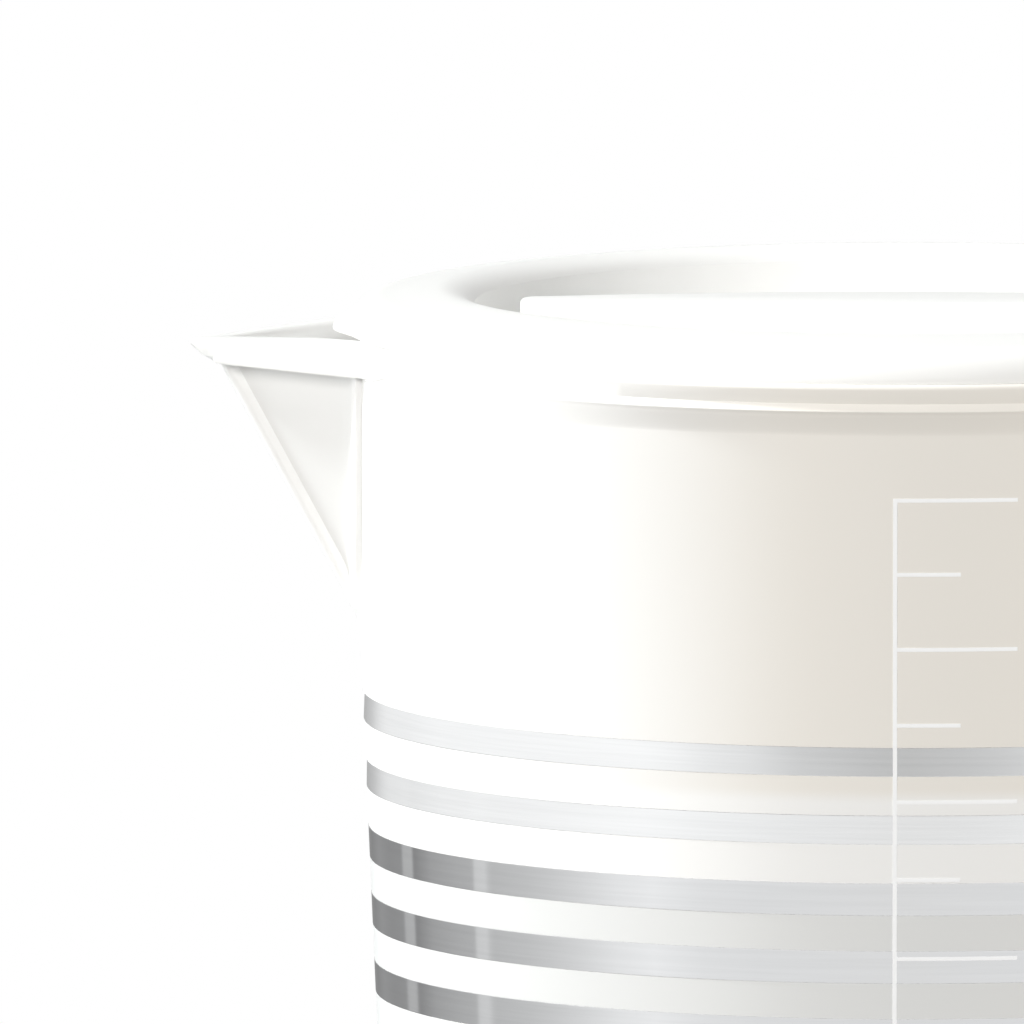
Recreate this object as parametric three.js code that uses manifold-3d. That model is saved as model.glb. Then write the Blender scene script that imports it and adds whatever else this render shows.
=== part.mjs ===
// A measuring jug: a tapered vessel with a V spout, steel hoops round its wall, a base cup on a
// non-slip foot, a screwed-on handle, and a lid with a recessed grip bar.
// Millimetres, +Z up. The origin is the middle of the foot's resting face. The spout points to -X
// and the handle to +X.

import * as THREE from 'three';
import Module from 'manifold-3d';
import { mergeVertices } from 'three/addons/utils/BufferGeometryUtils.js';

const wasm = await Module();
wasm.setup();

// Vessel
const VESSEL_HEIGHT = 178.2;
const RIM_RADIUS = 50.5;
const WALL_TAPER = 0.043;
const VESSEL_WALL = 1.8;
const VESSEL_FLOOR = 2.2;
const FLOOR_FILLET = 5;
const RIM_BEAD_OUT = 0.5;
const RIM_BEAD_HEIGHT = 2.8;
const RIM_ROUND = 0.5;
const BASE_ROUND = 2.5;

// Spout, a V in plan whose keel leans in towards the wall
const SPOUT_OUT = 13.1;
const SPOUT_LEAN = 0.54;
const SPOUT_HALF_ANGLE = THREE.MathUtils.degToRad(38.4);
const SPOUT_WALL = 1.6;
const SPOUT_RIM_OUT = 0.9;
const SPOUT_RIM_HEIGHT = 3.0;
const KEEL_WIDTH = 1.4;
const KEEL_OUT = 0.3;
const LIP_DROP = 0.9;

// Steel hoops, the top ones narrower than the rest
const HOOP_COUNT = 16;
const HOOP_THICKNESS = 0.3;
const HOOP_CLEARANCE = 0.08;
const HOOP_START_BELOW_RIM = 32.6;
const HOOP_PITCH = 6.1;
const HOOP_HEIGHT = 2.9;
const NARROW_HOOP_COUNT = 2;
const NARROW_HOOP_HEIGHT = 2.6;

// Foot and base cup
const FOOT_INSET = 6.8;
const FOOT_THICKNESS = 2.5;
const FOOT_SEAT_DEPTH = 1.7;
const FOOT_EDGE = 0.3;
const CUP_TOP = 37.2;
const CUP_WALL = 2.0;
const CUP_FLOOR = 2.0;
const CUP_EDGE_ROUND = 1.2;

// Handle
const BOSS_OUT = 6;
const BOSS_HALF_WIDTH = 6.5;
const BOSS_HEIGHT = 19;
const UPPER_BOSS_BELOW_RIM = 18;
const LOWER_BOSS_HEIGHT = 20;
const HANDLE_OUT = 42.5;
const HANDLE_LEAN = 6;
const HANDLE_THICKNESS = 12;
const HANDLE_WIDTH = 17;
const HANDLE_BEVEL = 2.4;
const ARM_HEIGHT = 18;
const HANDLE_OUTER_ROUND = 20;
const HANDLE_INNER_ROUND = 11;
const COVER_THICKNESS = 1.8;
const COVER_WIDTH = 10.4;
const COVER_ARM_OVERLAP = 5;

// Handle screws
const SCREW_RADIUS = 1.4;
const SCREW_GRIP = 5.5;
const SCREW_SEAT_WALL = 3.5;
const SCREW_HEAD_RADIUS = 2.8;
const SCREW_HEAD_HEIGHT = 1.8;
const SCREW_HEAD_CHAMFER = 0.5;
const SCREW_SOCKET_RADIUS = 1.1;
const SCREW_SOCKET_DEPTH = 0.9;
const SCREW_INWARD = 4;
const SCREW_CLEARANCE = 0.2;

// Lid
const LID_EDGE_INSET = 0.5;
const LID_FLANGE_THICKNESS = 3.5;
const LID_EDGE_ROUND = 3.3;
const LID_TOP_SLOPE = 0.6;
const LID_LOBE_OUT = 1.3;
const LID_LOBE_HALF_ANGLE = THREE.MathUtils.degToRad(26);
const LID_WALL = 2.0;
const CREST_INSET = 8.4;
const CREST_ROUND = 2.4;
const RECESS_DEPTH = 9;
const RECESS_ROUND = 3;
const RECESS_DRAFT = 2.6;
const SKIRT_DEPTH = 9.2;
const SKIRT_WALL = 2.4;
const SKIRT_CLEARANCE = 0.5;
const POUR_SLOT_COUNT = 7;
const POUR_SLOT_WIDTH = 2.2;
const POUR_SLOT_SPACING = THREE.MathUtils.degToRad(6);
const SKIRT_EDGE = 1.0;

// Lid seal
const SEAL_HEIGHT = 2.4;
const SEAL_BELOW_RIM = 1.8;
const SEAL_GROOVE_DEPTH = 1.1;
const SEAL_CLEARANCE = 0.1;
const SEAL_RUNNING_GAP = 0.3;

// Grip bar, a lens in plan
const GRIP_END_GAP = 7.2;
const GRIP_HALF_WIDTH = 5.7;
const GRIP_BELOW_CREST = 0.9;
const GRIP_WALL = 1.8;
const GRIP_EDGE = 0.5;
const GRIP_END_ROUND = 1.6;
const GRIP_END_WALL = 5.4;
const PEG_RADIUS = 2.4;
const PEG_HALF_SPACING = 18;
const PEG_STAKE = 1.0;

// Clearance between pieces that are fitted together
const FIT_GAP = 0.2;

// Facets
const ROUND_SEGMENTS = 40;
const CORNER_SEGMENTS = 5;
const FILLET_SEGMENTS = 3;
const SMALL_ROUND_SEGMENTS = 16;
const LENS_SEGMENTS = 12;
const CUT_OVERRUN = 2;

// Heights that several pieces share
const CUP_FLOOR_UNDERSIDE = FOOT_THICKNESS + FIT_GAP;
const CUP_BOTTOM = FOOT_THICKNESS - FOOT_SEAT_DEPTH;
const VESSEL_BOTTOM = CUP_FLOOR_UNDERSIDE + CUP_FLOOR + FIT_GAP;
const LID_SEAT = VESSEL_HEIGHT + FIT_GAP;
const CREST_HEIGHT = LID_SEAT + LID_FLANGE_THICKNESS;
const RECESS_FLOOR = CREST_HEIGHT - RECESS_DEPTH;
const LID_UNDERSIDE = RECESS_FLOOR - LID_WALL;
const SKIRT_BOTTOM = VESSEL_HEIGHT - SKIRT_DEPTH;
const UPPER_BOSS_HEIGHT = VESSEL_HEIGHT - UPPER_BOSS_BELOW_RIM;

// Radii and reaches that follow the rim
const LID_RADIUS = RIM_RADIUS + RIM_BEAD_OUT - LID_EDGE_INSET;
const CREST_RADIUS = LID_RADIUS - CREST_INSET;
const GRIP_HALF_LENGTH = CREST_RADIUS - GRIP_END_GAP;
const HANDLE_REACH = RIM_RADIUS + HANDLE_OUT;
const FOOT_RADIUS = wallRadius(0) - FOOT_INSET;
const SPOUT_REACH = RIM_RADIUS + SPOUT_OUT;
const SKIRT_RADIUS = cavityRadius(SKIRT_BOTTOM) - SKIRT_CLEARANCE;

// Spout places that several shapes share
const MID_WALL_RADIUS = RIM_RADIUS - VESSEL_WALL / 2;
const SPOUT_NOSE_WALL = SPOUT_WALL / Math.sin(SPOUT_HALF_ANGLE);
const LIP_REACH = SPOUT_REACH - KEEL_OUT + SPOUT_RIM_OUT / Math.sin(SPOUT_HALF_ANGLE);

/** Outer radius of the tapered wall at a height. */
function wallRadius(height) {
  return RIM_RADIUS - WALL_TAPER * (VESSEL_HEIGHT - height);
}

/** Radius of the vessel's cavity above the base cup. */
function cavityRadius(height) {
  return wallRadius(height) - VESSEL_WALL;
}

/** Outer radius of the vessel where it stands in the base cup. */
function seatedRadius(height) {
  return wallRadius(height) - CUP_WALL - FIT_GAP;
}

// Solids

/** Turn any closed geometry into a solid that can be joined and cut. */
function solid(geometry) {
  const bare = geometry.clone();
  bare.deleteAttribute('normal');
  bare.deleteAttribute('uv');
  const merged = mergeVertices(bare, 1e-4);
  const position = merged.attributes.position;
  const triangles = [];
  let volume = 0;
  const corner = [new THREE.Vector3(), new THREE.Vector3(), new THREE.Vector3()];
  for (let i = 0; i < merged.index.count; i += 3) {
    const ids = [0, 1, 2].map((k) => merged.index.getX(i + k));
    if (ids[0] === ids[1] || ids[1] === ids[2] || ids[2] === ids[0]) continue;
    ids.forEach((id, k) => corner[k].fromBufferAttribute(position, id));
    volume += corner[0].dot(corner[1].clone().cross(corner[2]));
    triangles.push(ids);
  }
  const outward = volume > 0 ? triangles : triangles.map((ids) => [ids[0], ids[2], ids[1]]);
  return new wasm.Manifold(new wasm.Mesh({
    numProp: 3,
    vertProperties: new Float32Array(position.array),
    triVerts: new Uint32Array(outward.flat()),
  }));
}

/** Turn a solid back into a flat-shaded geometry. */
function toGeometry(shape) {
  const mesh = shape.getMesh();
  const geometry = new THREE.BufferGeometry();
  geometry.setAttribute('position', new THREE.BufferAttribute(new Float32Array(mesh.vertProperties), 3));
  geometry.setIndex(new THREE.BufferAttribute(new Uint32Array(mesh.triVerts), 1));
  const flat = geometry.toNonIndexed();
  flat.computeVertexNormals();
  return flat;
}

/** Turn a profile of [radius, height] points about the Z axis. */
function turned(profile, segments = ROUND_SEGMENTS) {
  const points = profile.map(([radius, height]) => new THREE.Vector2(radius, height));
  return solid(new THREE.LatheGeometry(points, segments).rotateX(Math.PI / 2));
}

/** Profile points along an elliptic arc; angles in degrees, 0 is outward and 90 is up. */
function arc(centreRadius, centreHeight, across, up, fromAngle, toAngle, segments = FILLET_SEGMENTS) {
  return Array.from({ length: segments + 1 }, (_, i) => {
    const angle = THREE.MathUtils.degToRad(fromAngle + ((toAngle - fromAngle) * i) / segments);
    return [centreRadius + across * Math.cos(angle), centreHeight + up * Math.sin(angle)];
  });
}

/** A ring: a profile that closes on itself, turned about the Z axis. */
function turnedRing(profile) {
  return turned([...profile, profile[0]]);
}

/** A convex solid between two matching outlines of points, the first below the second. */
function loft(lower, upper) {
  const count = lower.length;
  const index = [];
  for (let i = 0; i < count; i += 1) {
    const next = (i + 1) % count;
    index.push(i, next, count + next, i, count + next, count + i);
  }
  for (let i = 1; i < count - 1; i += 1) {
    index.push(0, i + 1, i);
    index.push(count, count + i, count + i + 1);
  }
  const geometry = new THREE.BufferGeometry().setFromPoints([...lower, ...upper]);
  geometry.setIndex(index);
  return solid(geometry);
}

/** A box given by its low and high corners. */
function block(low, high) {
  const size = high.map((value, axis) => value - low[axis]);
  const centre = high.map((value, axis) => (value + low[axis]) / 2);
  return solid(new THREE.BoxGeometry(...size).translate(...centre));
}

/** A round bar along X from one x to another, at a height above the table. */
function barAlongX(radius, fromX, toX, height) {
  const bar = new THREE.CylinderGeometry(radius, radius, toX - fromX, SMALL_ROUND_SEGMENTS);
  return solid(bar.rotateZ(Math.PI / 2).translate((fromX + toX) / 2, 0, height));
}

/** An outline whose corners, given as [x, y, radius], are rounded by arcs. */
function roundedShape(corners) {
  const outline = [];
  corners.forEach(([x, y, radius], i) => {
    const here = new THREE.Vector2(x, y);
    if (!radius) {
      outline.push(here);
      return;
    }
    const [beforeX, beforeY] = corners[(i + corners.length - 1) % corners.length];
    const [afterX, afterY] = corners[(i + 1) % corners.length];
    const toBefore = new THREE.Vector2(beforeX, beforeY).sub(here).normalize();
    const toAfter = new THREE.Vector2(afterX, afterY).sub(here).normalize();
    const halfAngle = Math.acos(THREE.MathUtils.clamp(toBefore.dot(toAfter), -1, 1)) / 2;
    const middle = toBefore.clone().add(toAfter).normalize();
    const centre = here.clone().addScaledVector(middle, radius / Math.sin(halfAngle));
    const start = here.clone().addScaledVector(toBefore, radius / Math.tan(halfAngle)).sub(centre);
    const end = here.clone().addScaledVector(toAfter, radius / Math.tan(halfAngle)).sub(centre);
    let sweep = end.angle() - start.angle();
    if (sweep > Math.PI) sweep -= 2 * Math.PI;
    if (sweep < -Math.PI) sweep += 2 * Math.PI;
    for (let k = 0; k <= CORNER_SEGMENTS; k += 1) {
      const spoke = start.clone().rotateAround(new THREE.Vector2(), (sweep * k) / CORNER_SEGMENTS);
      outline.push(centre.clone().add(spoke));
    }
  });
  return new THREE.Shape(outline);
}

/** Extrude an outline in the XZ plane along Y, centred, with its edges bevelled. */
function sideExtrusion(shape, width, bevel = 0) {
  const geometry = new THREE.ExtrudeGeometry(shape, {
    depth: width - 2 * bevel,
    bevelEnabled: bevel > 0,
    bevelSize: bevel,
    bevelThickness: bevel,
    bevelOffset: -bevel,
    bevelSegments: 2,
    curveSegments: CORNER_SEGMENTS,
  });
  return solid(geometry.translate(0, 0, bevel - width / 2).rotateX(Math.PI / 2));
}

// Spout

/** The height below the rim where a leaning keel line meets a wall radius. */
function keelDepth(reach, radiusAtRim) {
  return (reach - radiusAtRim) / (SPOUT_LEAN - WALL_TAPER);
}

/** How far a V's arms run back from its nose before they meet a circle about the axis. */
function armSpan(reach, radius) {
  const spread = 1 + Math.tan(SPOUT_HALF_ANGLE) ** 2;
  return (reach - Math.sqrt(reach ** 2 - spread * (reach ** 2 - radius ** 2))) / spread;
}

/** A V-shaped wedge between two depths below the rim; its nose leans in and its arms end at a radius. */
function spoutWedge(reach, lean, topDepth, bottomDepth, endRadius) {
  const span = armSpan(reach, endRadius);
  const halfSpread = span * Math.tan(SPOUT_HALF_ANGLE);
  const section = (depth) => {
    const nose = reach - lean * depth;
    const height = VESSEL_HEIGHT - depth;
    return [
      new THREE.Vector3(-nose, 0, height),
      new THREE.Vector3(span - nose, -halfSpread, height),
      new THREE.Vector3(span - nose, halfSpread, height),
    ];
  };
  return loft(section(bottomDepth), section(topDepth));
}

/** The narrow rib along the keel, from the rim's flange down into the wall. */
function keelRib() {
  const bottomDepth = keelDepth(SPOUT_REACH, MID_WALL_RADIUS);
  const half = KEEL_WIDTH / 2;
  const section = (depth) => {
    const nose = SPOUT_REACH - SPOUT_LEAN * depth;
    const back = nose - KEEL_OUT - SPOUT_NOSE_WALL / 2;
    const height = VESSEL_HEIGHT - depth;
    return [
      new THREE.Vector3(-nose, half, height),
      new THREE.Vector3(-nose, -half, height),
      new THREE.Vector3(-back, -half, height),
      new THREE.Vector3(-back, half, height),
    ];
  };
  return loft(section(bottomDepth), section(SPOUT_RIM_HEIGHT / 2));
}

/** Everything of the spout that is outside its channel. */
function spoutOutside() {
  const panelReach = SPOUT_REACH - KEEL_OUT;
  const panelBottom = keelDepth(panelReach, MID_WALL_RADIUS);
  return spoutWedge(panelReach, SPOUT_LEAN, 0, panelBottom, MID_WALL_RADIUS)
    .add(spoutWedge(LIP_REACH, 0, 0, SPOUT_RIM_HEIGHT, MID_WALL_RADIUS))
    .add(keelRib());
}

/** The channel that the liquid runs through, open at the rim and into the cavity. */
function spoutChannel() {
  const reach = SPOUT_REACH - KEEL_OUT - SPOUT_NOSE_WALL;
  const endRadius = RIM_RADIUS - VESSEL_WALL - CUT_OVERRUN;
  return spoutWedge(reach, SPOUT_LEAN, -CUT_OVERRUN, keelDepth(reach, endRadius), endRadius);
}

/** The slice above the lip, which slopes down towards its tip. */
function lipCut() {
  const root = RIM_RADIUS + RIM_BEAD_OUT;
  const outline = new THREE.Shape([
    new THREE.Vector2(-root, VESSEL_HEIGHT),
    new THREE.Vector2(-LIP_REACH, VESSEL_HEIGHT - LIP_DROP),
    new THREE.Vector2(-LIP_REACH - CUT_OVERRUN, VESSEL_HEIGHT - LIP_DROP),
    new THREE.Vector2(-LIP_REACH - CUT_OVERRUN, VESSEL_HEIGHT + CUT_OVERRUN),
    new THREE.Vector2(-root, VESSEL_HEIGHT + CUT_OVERRUN),
  ]);
  return sideExtrusion(outline, 2 * (LIP_REACH - root));
}

// Handle bosses and screws

/** The x of the flat face that the handle is screwed to, at a boss's height. */
function bossFace(height) {
  return wallRadius(height) + BOSS_OUT;
}

/** The height of a screw: a little towards the handle's middle from its boss. */
function screwHeight(height) {
  const middle = (UPPER_BOSS_HEIGHT + LOWER_BOSS_HEIGHT) / 2;
  return height + SCREW_INWARD * Math.sign(middle - height);
}

/** A boss on the wall with a blind hole for its screw. */
function addBoss(shape, height, innerRadius) {
  const face = bossFace(height);
  const boss = block(
    [innerRadius, -BOSS_HALF_WIDTH, height - BOSS_HEIGHT / 2],
    [face, BOSS_HALF_WIDTH, height + BOSS_HEIGHT / 2],
  );
  const holeEnd = face + FIT_GAP - SCREW_GRIP - SCREW_CLEARANCE;
  const holeRadius = SCREW_RADIUS + SCREW_CLEARANCE;
  return shape.add(boss).subtract(barAlongX(holeRadius, holeEnd, face + CUT_OVERRUN, screwHeight(height)));
}

/** The x of the face that a screw's head sits on, inside the handle. */
function screwSeat(height) {
  return bossFace(height) + FIT_GAP + SCREW_SEAT_WALL;
}

/** One handle screw with a round socket in its head, lying along X. */
function handleScrew(height) {
  const seat = screwSeat(height) + SCREW_CLEARANCE;
  const length = SCREW_GRIP + SCREW_SEAT_WALL;
  const profile = [
    [0, -length],
    [SCREW_RADIUS / 2, -length],
    [SCREW_RADIUS, -length + SCREW_RADIUS],
    [SCREW_RADIUS, 0],
    [SCREW_HEAD_RADIUS, 0],
    [SCREW_HEAD_RADIUS, SCREW_HEAD_HEIGHT - SCREW_HEAD_CHAMFER],
    [SCREW_HEAD_RADIUS - SCREW_HEAD_CHAMFER, SCREW_HEAD_HEIGHT],
    [SCREW_SOCKET_RADIUS, SCREW_HEAD_HEIGHT],
    [SCREW_SOCKET_RADIUS, SCREW_HEAD_HEIGHT - SCREW_SOCKET_DEPTH],
    [0, SCREW_HEAD_HEIGHT - SCREW_SOCKET_DEPTH],
  ];
  const geometry = toGeometry(turned(profile, SMALL_ROUND_SEGMENTS));
  return solid(geometry.rotateY(Math.PI / 2).translate(seat, 0, screwHeight(height)));
}

// Pieces

/** The vessel with its rim bead, spout and upper handle boss. */
function jugBody() {
  const shoulder = CUP_TOP + FIT_GAP;
  const innerShoulder = shoulder + CUP_WALL;
  const floorTop = VESSEL_BOTTOM + VESSEL_FLOOR;
  const beadBottom = VESSEL_HEIGHT - RIM_BEAD_HEIGHT;
  const baseRadius = seatedRadius(VESSEL_BOTTOM);
  const floorRadius = baseRadius - VESSEL_WALL;
  const outside = turned([
    [0, VESSEL_BOTTOM],
    [baseRadius - BASE_ROUND, VESSEL_BOTTOM],
    [baseRadius, VESSEL_BOTTOM + BASE_ROUND],
    [seatedRadius(shoulder), shoulder],
    [wallRadius(shoulder), shoulder],
    [wallRadius(beadBottom), beadBottom],
    [wallRadius(beadBottom) + RIM_BEAD_OUT, beadBottom + RIM_ROUND],
    [RIM_RADIUS + RIM_BEAD_OUT, VESSEL_HEIGHT - RIM_ROUND],
    [RIM_RADIUS, VESSEL_HEIGHT],
    [0, VESSEL_HEIGHT],
  ]);
  const cavity = turned([
    [0, floorTop],
    ...arc(floorRadius - FLOOR_FILLET, floorTop + FLOOR_FILLET, FLOOR_FILLET, FLOOR_FILLET, -90, 0),
    [seatedRadius(shoulder) - VESSEL_WALL, shoulder],
    [cavityRadius(innerShoulder), innerShoulder],
    [cavityRadius(VESSEL_HEIGHT), VESSEL_HEIGHT],
    [cavityRadius(VESSEL_HEIGHT), VESSEL_HEIGHT + CUT_OVERRUN],
    [0, VESSEL_HEIGHT + CUT_OVERRUN],
  ]);
  const walled = outside.add(spoutOutside());
  return addBoss(walled, UPPER_BOSS_HEIGHT, cavityRadius(UPPER_BOSS_HEIGHT))
    .subtract(cavity)
    .subtract(spoutChannel())
    .subtract(lipCut());
}

/** One thin steel hoop round the wall, counted from the top. */
function hoop(place) {
  const top = VESSEL_HEIGHT - HOOP_START_BELOW_RIM - place * HOOP_PITCH;
  const bottom = top - (place < NARROW_HOOP_COUNT ? NARROW_HOOP_HEIGHT : HOOP_HEIGHT);
  const inner = (height) => wallRadius(height) + HOOP_CLEARANCE;
  return turnedRing([
    [inner(bottom), bottom],
    [inner(bottom) + HOOP_THICKNESS, bottom],
    [inner(top) + HOOP_THICKNESS, top],
    [inner(top), top],
  ]);
}

/** The cup that the vessel stands in, with a seat for the foot under it. */
function baseCup() {
  const floorTop = CUP_FLOOR_UNDERSIDE + CUP_FLOOR;
  const seatRadius = FOOT_RADIUS + FIT_GAP;
  const outerEdge = wallRadius(CUP_BOTTOM);
  const innerRadius = (height) => wallRadius(height) - CUP_WALL;
  const shell = turned([
    [0, CUP_FLOOR_UNDERSIDE],
    [seatRadius, CUP_FLOOR_UNDERSIDE],
    [seatRadius, CUP_BOTTOM],
    ...arc(outerEdge - CUP_EDGE_ROUND, CUP_BOTTOM + CUP_EDGE_ROUND, CUP_EDGE_ROUND, CUP_EDGE_ROUND, -90, 0),
    [wallRadius(CUP_TOP), CUP_TOP],
    [innerRadius(CUP_TOP), CUP_TOP],
    [innerRadius(floorTop + BASE_ROUND), floorTop + BASE_ROUND],
    [innerRadius(floorTop) - BASE_ROUND, floorTop],
    [0, floorTop],
  ]);
  return addBoss(shell, LOWER_BOSS_HEIGHT, wallRadius(LOWER_BOSS_HEIGHT) - CUP_WALL / 2);
}

/** The silicone disc that the jug stands on. */
function footPad() {
  return turned([
    [0, 0],
    [FOOT_RADIUS - FOOT_EDGE, 0],
    [FOOT_RADIUS, FOOT_EDGE],
    [FOOT_RADIUS, FOOT_THICKNESS],
    [0, FOOT_THICKNESS],
  ]);
}

/** The corners of the handle's outer line, from the upper arm round to the lower one. */
function handleOuterLine(inset, upperX, lowerX) {
  const top = UPPER_BOSS_HEIGHT + ARM_HEIGHT / 2 - inset;
  const bottom = LOWER_BOSS_HEIGHT - ARM_HEIGHT / 2 + inset;
  const round = HANDLE_OUTER_ROUND - inset;
  return [
    [upperX, top, 0],
    [HANDLE_REACH - inset, top, round],
    [HANDLE_REACH - HANDLE_LEAN - inset, bottom, round],
    [lowerX, bottom, 0],
  ];
}

/** The strip let into the handle's outer face, or with a margin the channel that it sits in. */
function handleStrip(margin, overrun) {
  const upperX = HANDLE_REACH - HANDLE_OUTER_ROUND - COVER_ARM_OVERLAP - margin;
  const lowerX = upperX - HANDLE_LEAN;
  const outer = handleOuterLine(-overrun, upperX, lowerX);
  const inner = handleOuterLine(COVER_THICKNESS + margin, upperX, lowerX).reverse();
  return sideExtrusion(roundedShape([...outer, ...inner]), COVER_WIDTH + 2 * margin);
}

/** The D-shaped handle with a channel for its cover and two deep screw holes. */
function handleFrame() {
  const upperEnd = bossFace(UPPER_BOSS_HEIGHT) + FIT_GAP;
  const lowerEnd = bossFace(LOWER_BOSS_HEIGHT) + FIT_GAP;
  const innerTop = UPPER_BOSS_HEIGHT - ARM_HEIGHT / 2;
  const innerBottom = LOWER_BOSS_HEIGHT + ARM_HEIGHT / 2;
  const innerX = HANDLE_REACH - HANDLE_THICKNESS;
  const outline = roundedShape([
    ...handleOuterLine(0, upperEnd, lowerEnd),
    [lowerEnd, innerBottom, 0],
    [innerX - HANDLE_LEAN, innerBottom, HANDLE_INNER_ROUND],
    [innerX, innerTop, HANDLE_INNER_ROUND],
    [upperEnd, innerTop, 0],
  ]);
  let frame = sideExtrusion(outline, HANDLE_WIDTH, HANDLE_BEVEL).subtract(handleStrip(FIT_GAP, CUT_OVERRUN));
  for (const height of [UPPER_BOSS_HEIGHT, LOWER_BOSS_HEIGHT]) {
    const through = SCREW_RADIUS + SCREW_CLEARANCE;
    const headHole = SCREW_HEAD_RADIUS + SCREW_CLEARANCE;
    const seat = screwSeat(height);
    const screwZ = screwHeight(height);
    frame = frame
      .subtract(barAlongX(through, bossFace(height), seat + CUT_OVERRUN, screwZ))
      .subtract(barAlongX(headHole, seat, HANDLE_REACH + CUT_OVERRUN, screwZ));
  }
  return frame;
}

/** How far the lid's flange swells towards the spout, at an angle about the axis. */
function lobe(x, y) {
  const fromSpout = Math.abs(Math.atan2(y, -x)) / LID_LOBE_HALF_ANGLE;
  return fromSpout < 1 ? LID_LOBE_OUT * Math.cos((fromSpout * Math.PI) / 2) ** 2 : 0;
}

/** Push the flange's outer vertices out into the lobe, most at the rim of the flange. */
function swell(geometry, fromRadius) {
  const position = geometry.attributes.position;
  for (let i = 0; i < position.count; i += 1) {
    const x = position.getX(i);
    const y = position.getY(i);
    const radius = Math.hypot(x, y);
    if (radius > fromRadius && position.getZ(i) > VESSEL_HEIGHT) {
      const share = Math.min(1, (radius - fromRadius) / (LID_RADIUS - fromRadius));
      const scale = (radius + lobe(x, y) * share) / radius;
      position.setXY(i, x * scale, y * scale);
    }
  }
  return geometry;
}

/** The lid: a flange over the rim, a plug skirt with pour slots and a round recess. */
function lidDish() {
  const skirtInner = SKIRT_RADIUS - SKIRT_WALL;
  const edgeTop = CREST_HEIGHT - LID_TOP_SLOPE;
  const ceiling = edgeTop - LID_WALL;
  const recessRadius = CREST_RADIUS - RECESS_DRAFT;
  const filletRadius = recessRadius - RECESS_ROUND;
  const filletHeight = RECESS_FLOOR + RECESS_ROUND;
  const underRound = RECESS_ROUND + LID_WALL;
  const grooveTop = VESSEL_HEIGHT - SEAL_BELOW_RIM + SEAL_CLEARANCE;
  const grooveBottom = VESSEL_HEIGHT - SEAL_BELOW_RIM - SEAL_HEIGHT - SEAL_CLEARANCE;
  const grooveRadius = SKIRT_RADIUS - SEAL_GROOVE_DEPTH;
  const lathe = toGeometry(turned([
    [0, RECESS_FLOOR],
    ...arc(filletRadius, filletHeight, RECESS_ROUND, RECESS_ROUND, -90, 0),
    ...arc(CREST_RADIUS, CREST_HEIGHT - CREST_ROUND, CREST_ROUND, CREST_ROUND, 180, 90),
    ...arc(LID_RADIUS - LID_EDGE_ROUND, LID_SEAT, LID_EDGE_ROUND, edgeTop - LID_SEAT, 90, 0),
    [SKIRT_RADIUS, LID_SEAT],
    [SKIRT_RADIUS, grooveTop],
    [grooveRadius, grooveTop],
    [grooveRadius, grooveBottom],
    [SKIRT_RADIUS, grooveBottom],
    [SKIRT_RADIUS, SKIRT_BOTTOM],
    [skirtInner, SKIRT_BOTTOM],
    [skirtInner, ceiling],
    [CREST_RADIUS + LID_WALL, ceiling],
    ...arc(filletRadius, filletHeight, underRound, underRound, 0, -90),
    [0, LID_UNDERSIDE],
  ]));
  let dish = solid(swell(lathe, SKIRT_RADIUS));
  for (let i = 0; i < POUR_SLOT_COUNT; i += 1) {
    const angle = Math.PI + (i - (POUR_SLOT_COUNT - 1) / 2) * POUR_SLOT_SPACING;
    const slot = new THREE.BoxGeometry(
      2 * CUT_OVERRUN + SKIRT_WALL,
      POUR_SLOT_WIDTH,
      grooveBottom - SKIRT_BOTTOM - 2 * SKIRT_EDGE,
    );
    slot.translate(SKIRT_RADIUS - SKIRT_WALL / 2, 0, (grooveBottom + SKIRT_BOTTOM) / 2);
    dish = dish.subtract(solid(slot.rotateZ(angle)));
  }
  for (const x of [-PEG_HALF_SPACING, PEG_HALF_SPACING]) {
    dish = dish.subtract(peg(x, PEG_RADIUS + FIT_GAP, LID_UNDERSIDE - CUT_OVERRUN, RECESS_FLOOR + CUT_OVERRUN));
  }
  return dish;
}

/** The silicone ring in the skirt's groove. */
function lidSeal() {
  const top = VESSEL_HEIGHT - SEAL_BELOW_RIM;
  const bottom = top - SEAL_HEIGHT;
  const inner = SKIRT_RADIUS - SEAL_GROOVE_DEPTH + SEAL_RUNNING_GAP;
  return turnedRing([
    [inner, bottom],
    [cavityRadius(bottom) - SEAL_CLEARANCE, bottom],
    [cavityRadius(bottom) - SEAL_CLEARANCE, top],
    [inner, top],
  ]);
}

/** An upright round peg. */
function peg(x, radius, bottom, top) {
  const bar = new THREE.CylinderGeometry(radius, radius, top - bottom, SMALL_ROUND_SEGMENTS);
  return solid(bar.rotateX(Math.PI / 2).translate(x, 0, (top + bottom) / 2));
}

/** A lens outline: two arcs that meet at rounded ends. */
function lensShape(halfLength, halfWidth, endRound) {
  const inner = halfLength - endRound;
  const arcRadius = (inner ** 2 + (halfWidth - endRound) ** 2) / (2 * (halfWidth - endRound)) + endRound;
  const endAngle = Math.asin(inner / (arcRadius - endRound));
  const outline = [];
  for (const side of [1, -1]) {
    for (let i = 0; i <= LENS_SEGMENTS; i += 1) {
      const angle = side * endAngle * ((2 * i) / LENS_SEGMENTS - 1);
      const x = arcRadius * Math.sin(angle);
      const y = side * (halfWidth - arcRadius + arcRadius * Math.cos(angle));
      outline.push(new THREE.Vector2(x, y));
    }
    outline.push(new THREE.Vector2(side * halfLength, 0));
  }
  return new THREE.Shape(outline);
}

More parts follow.
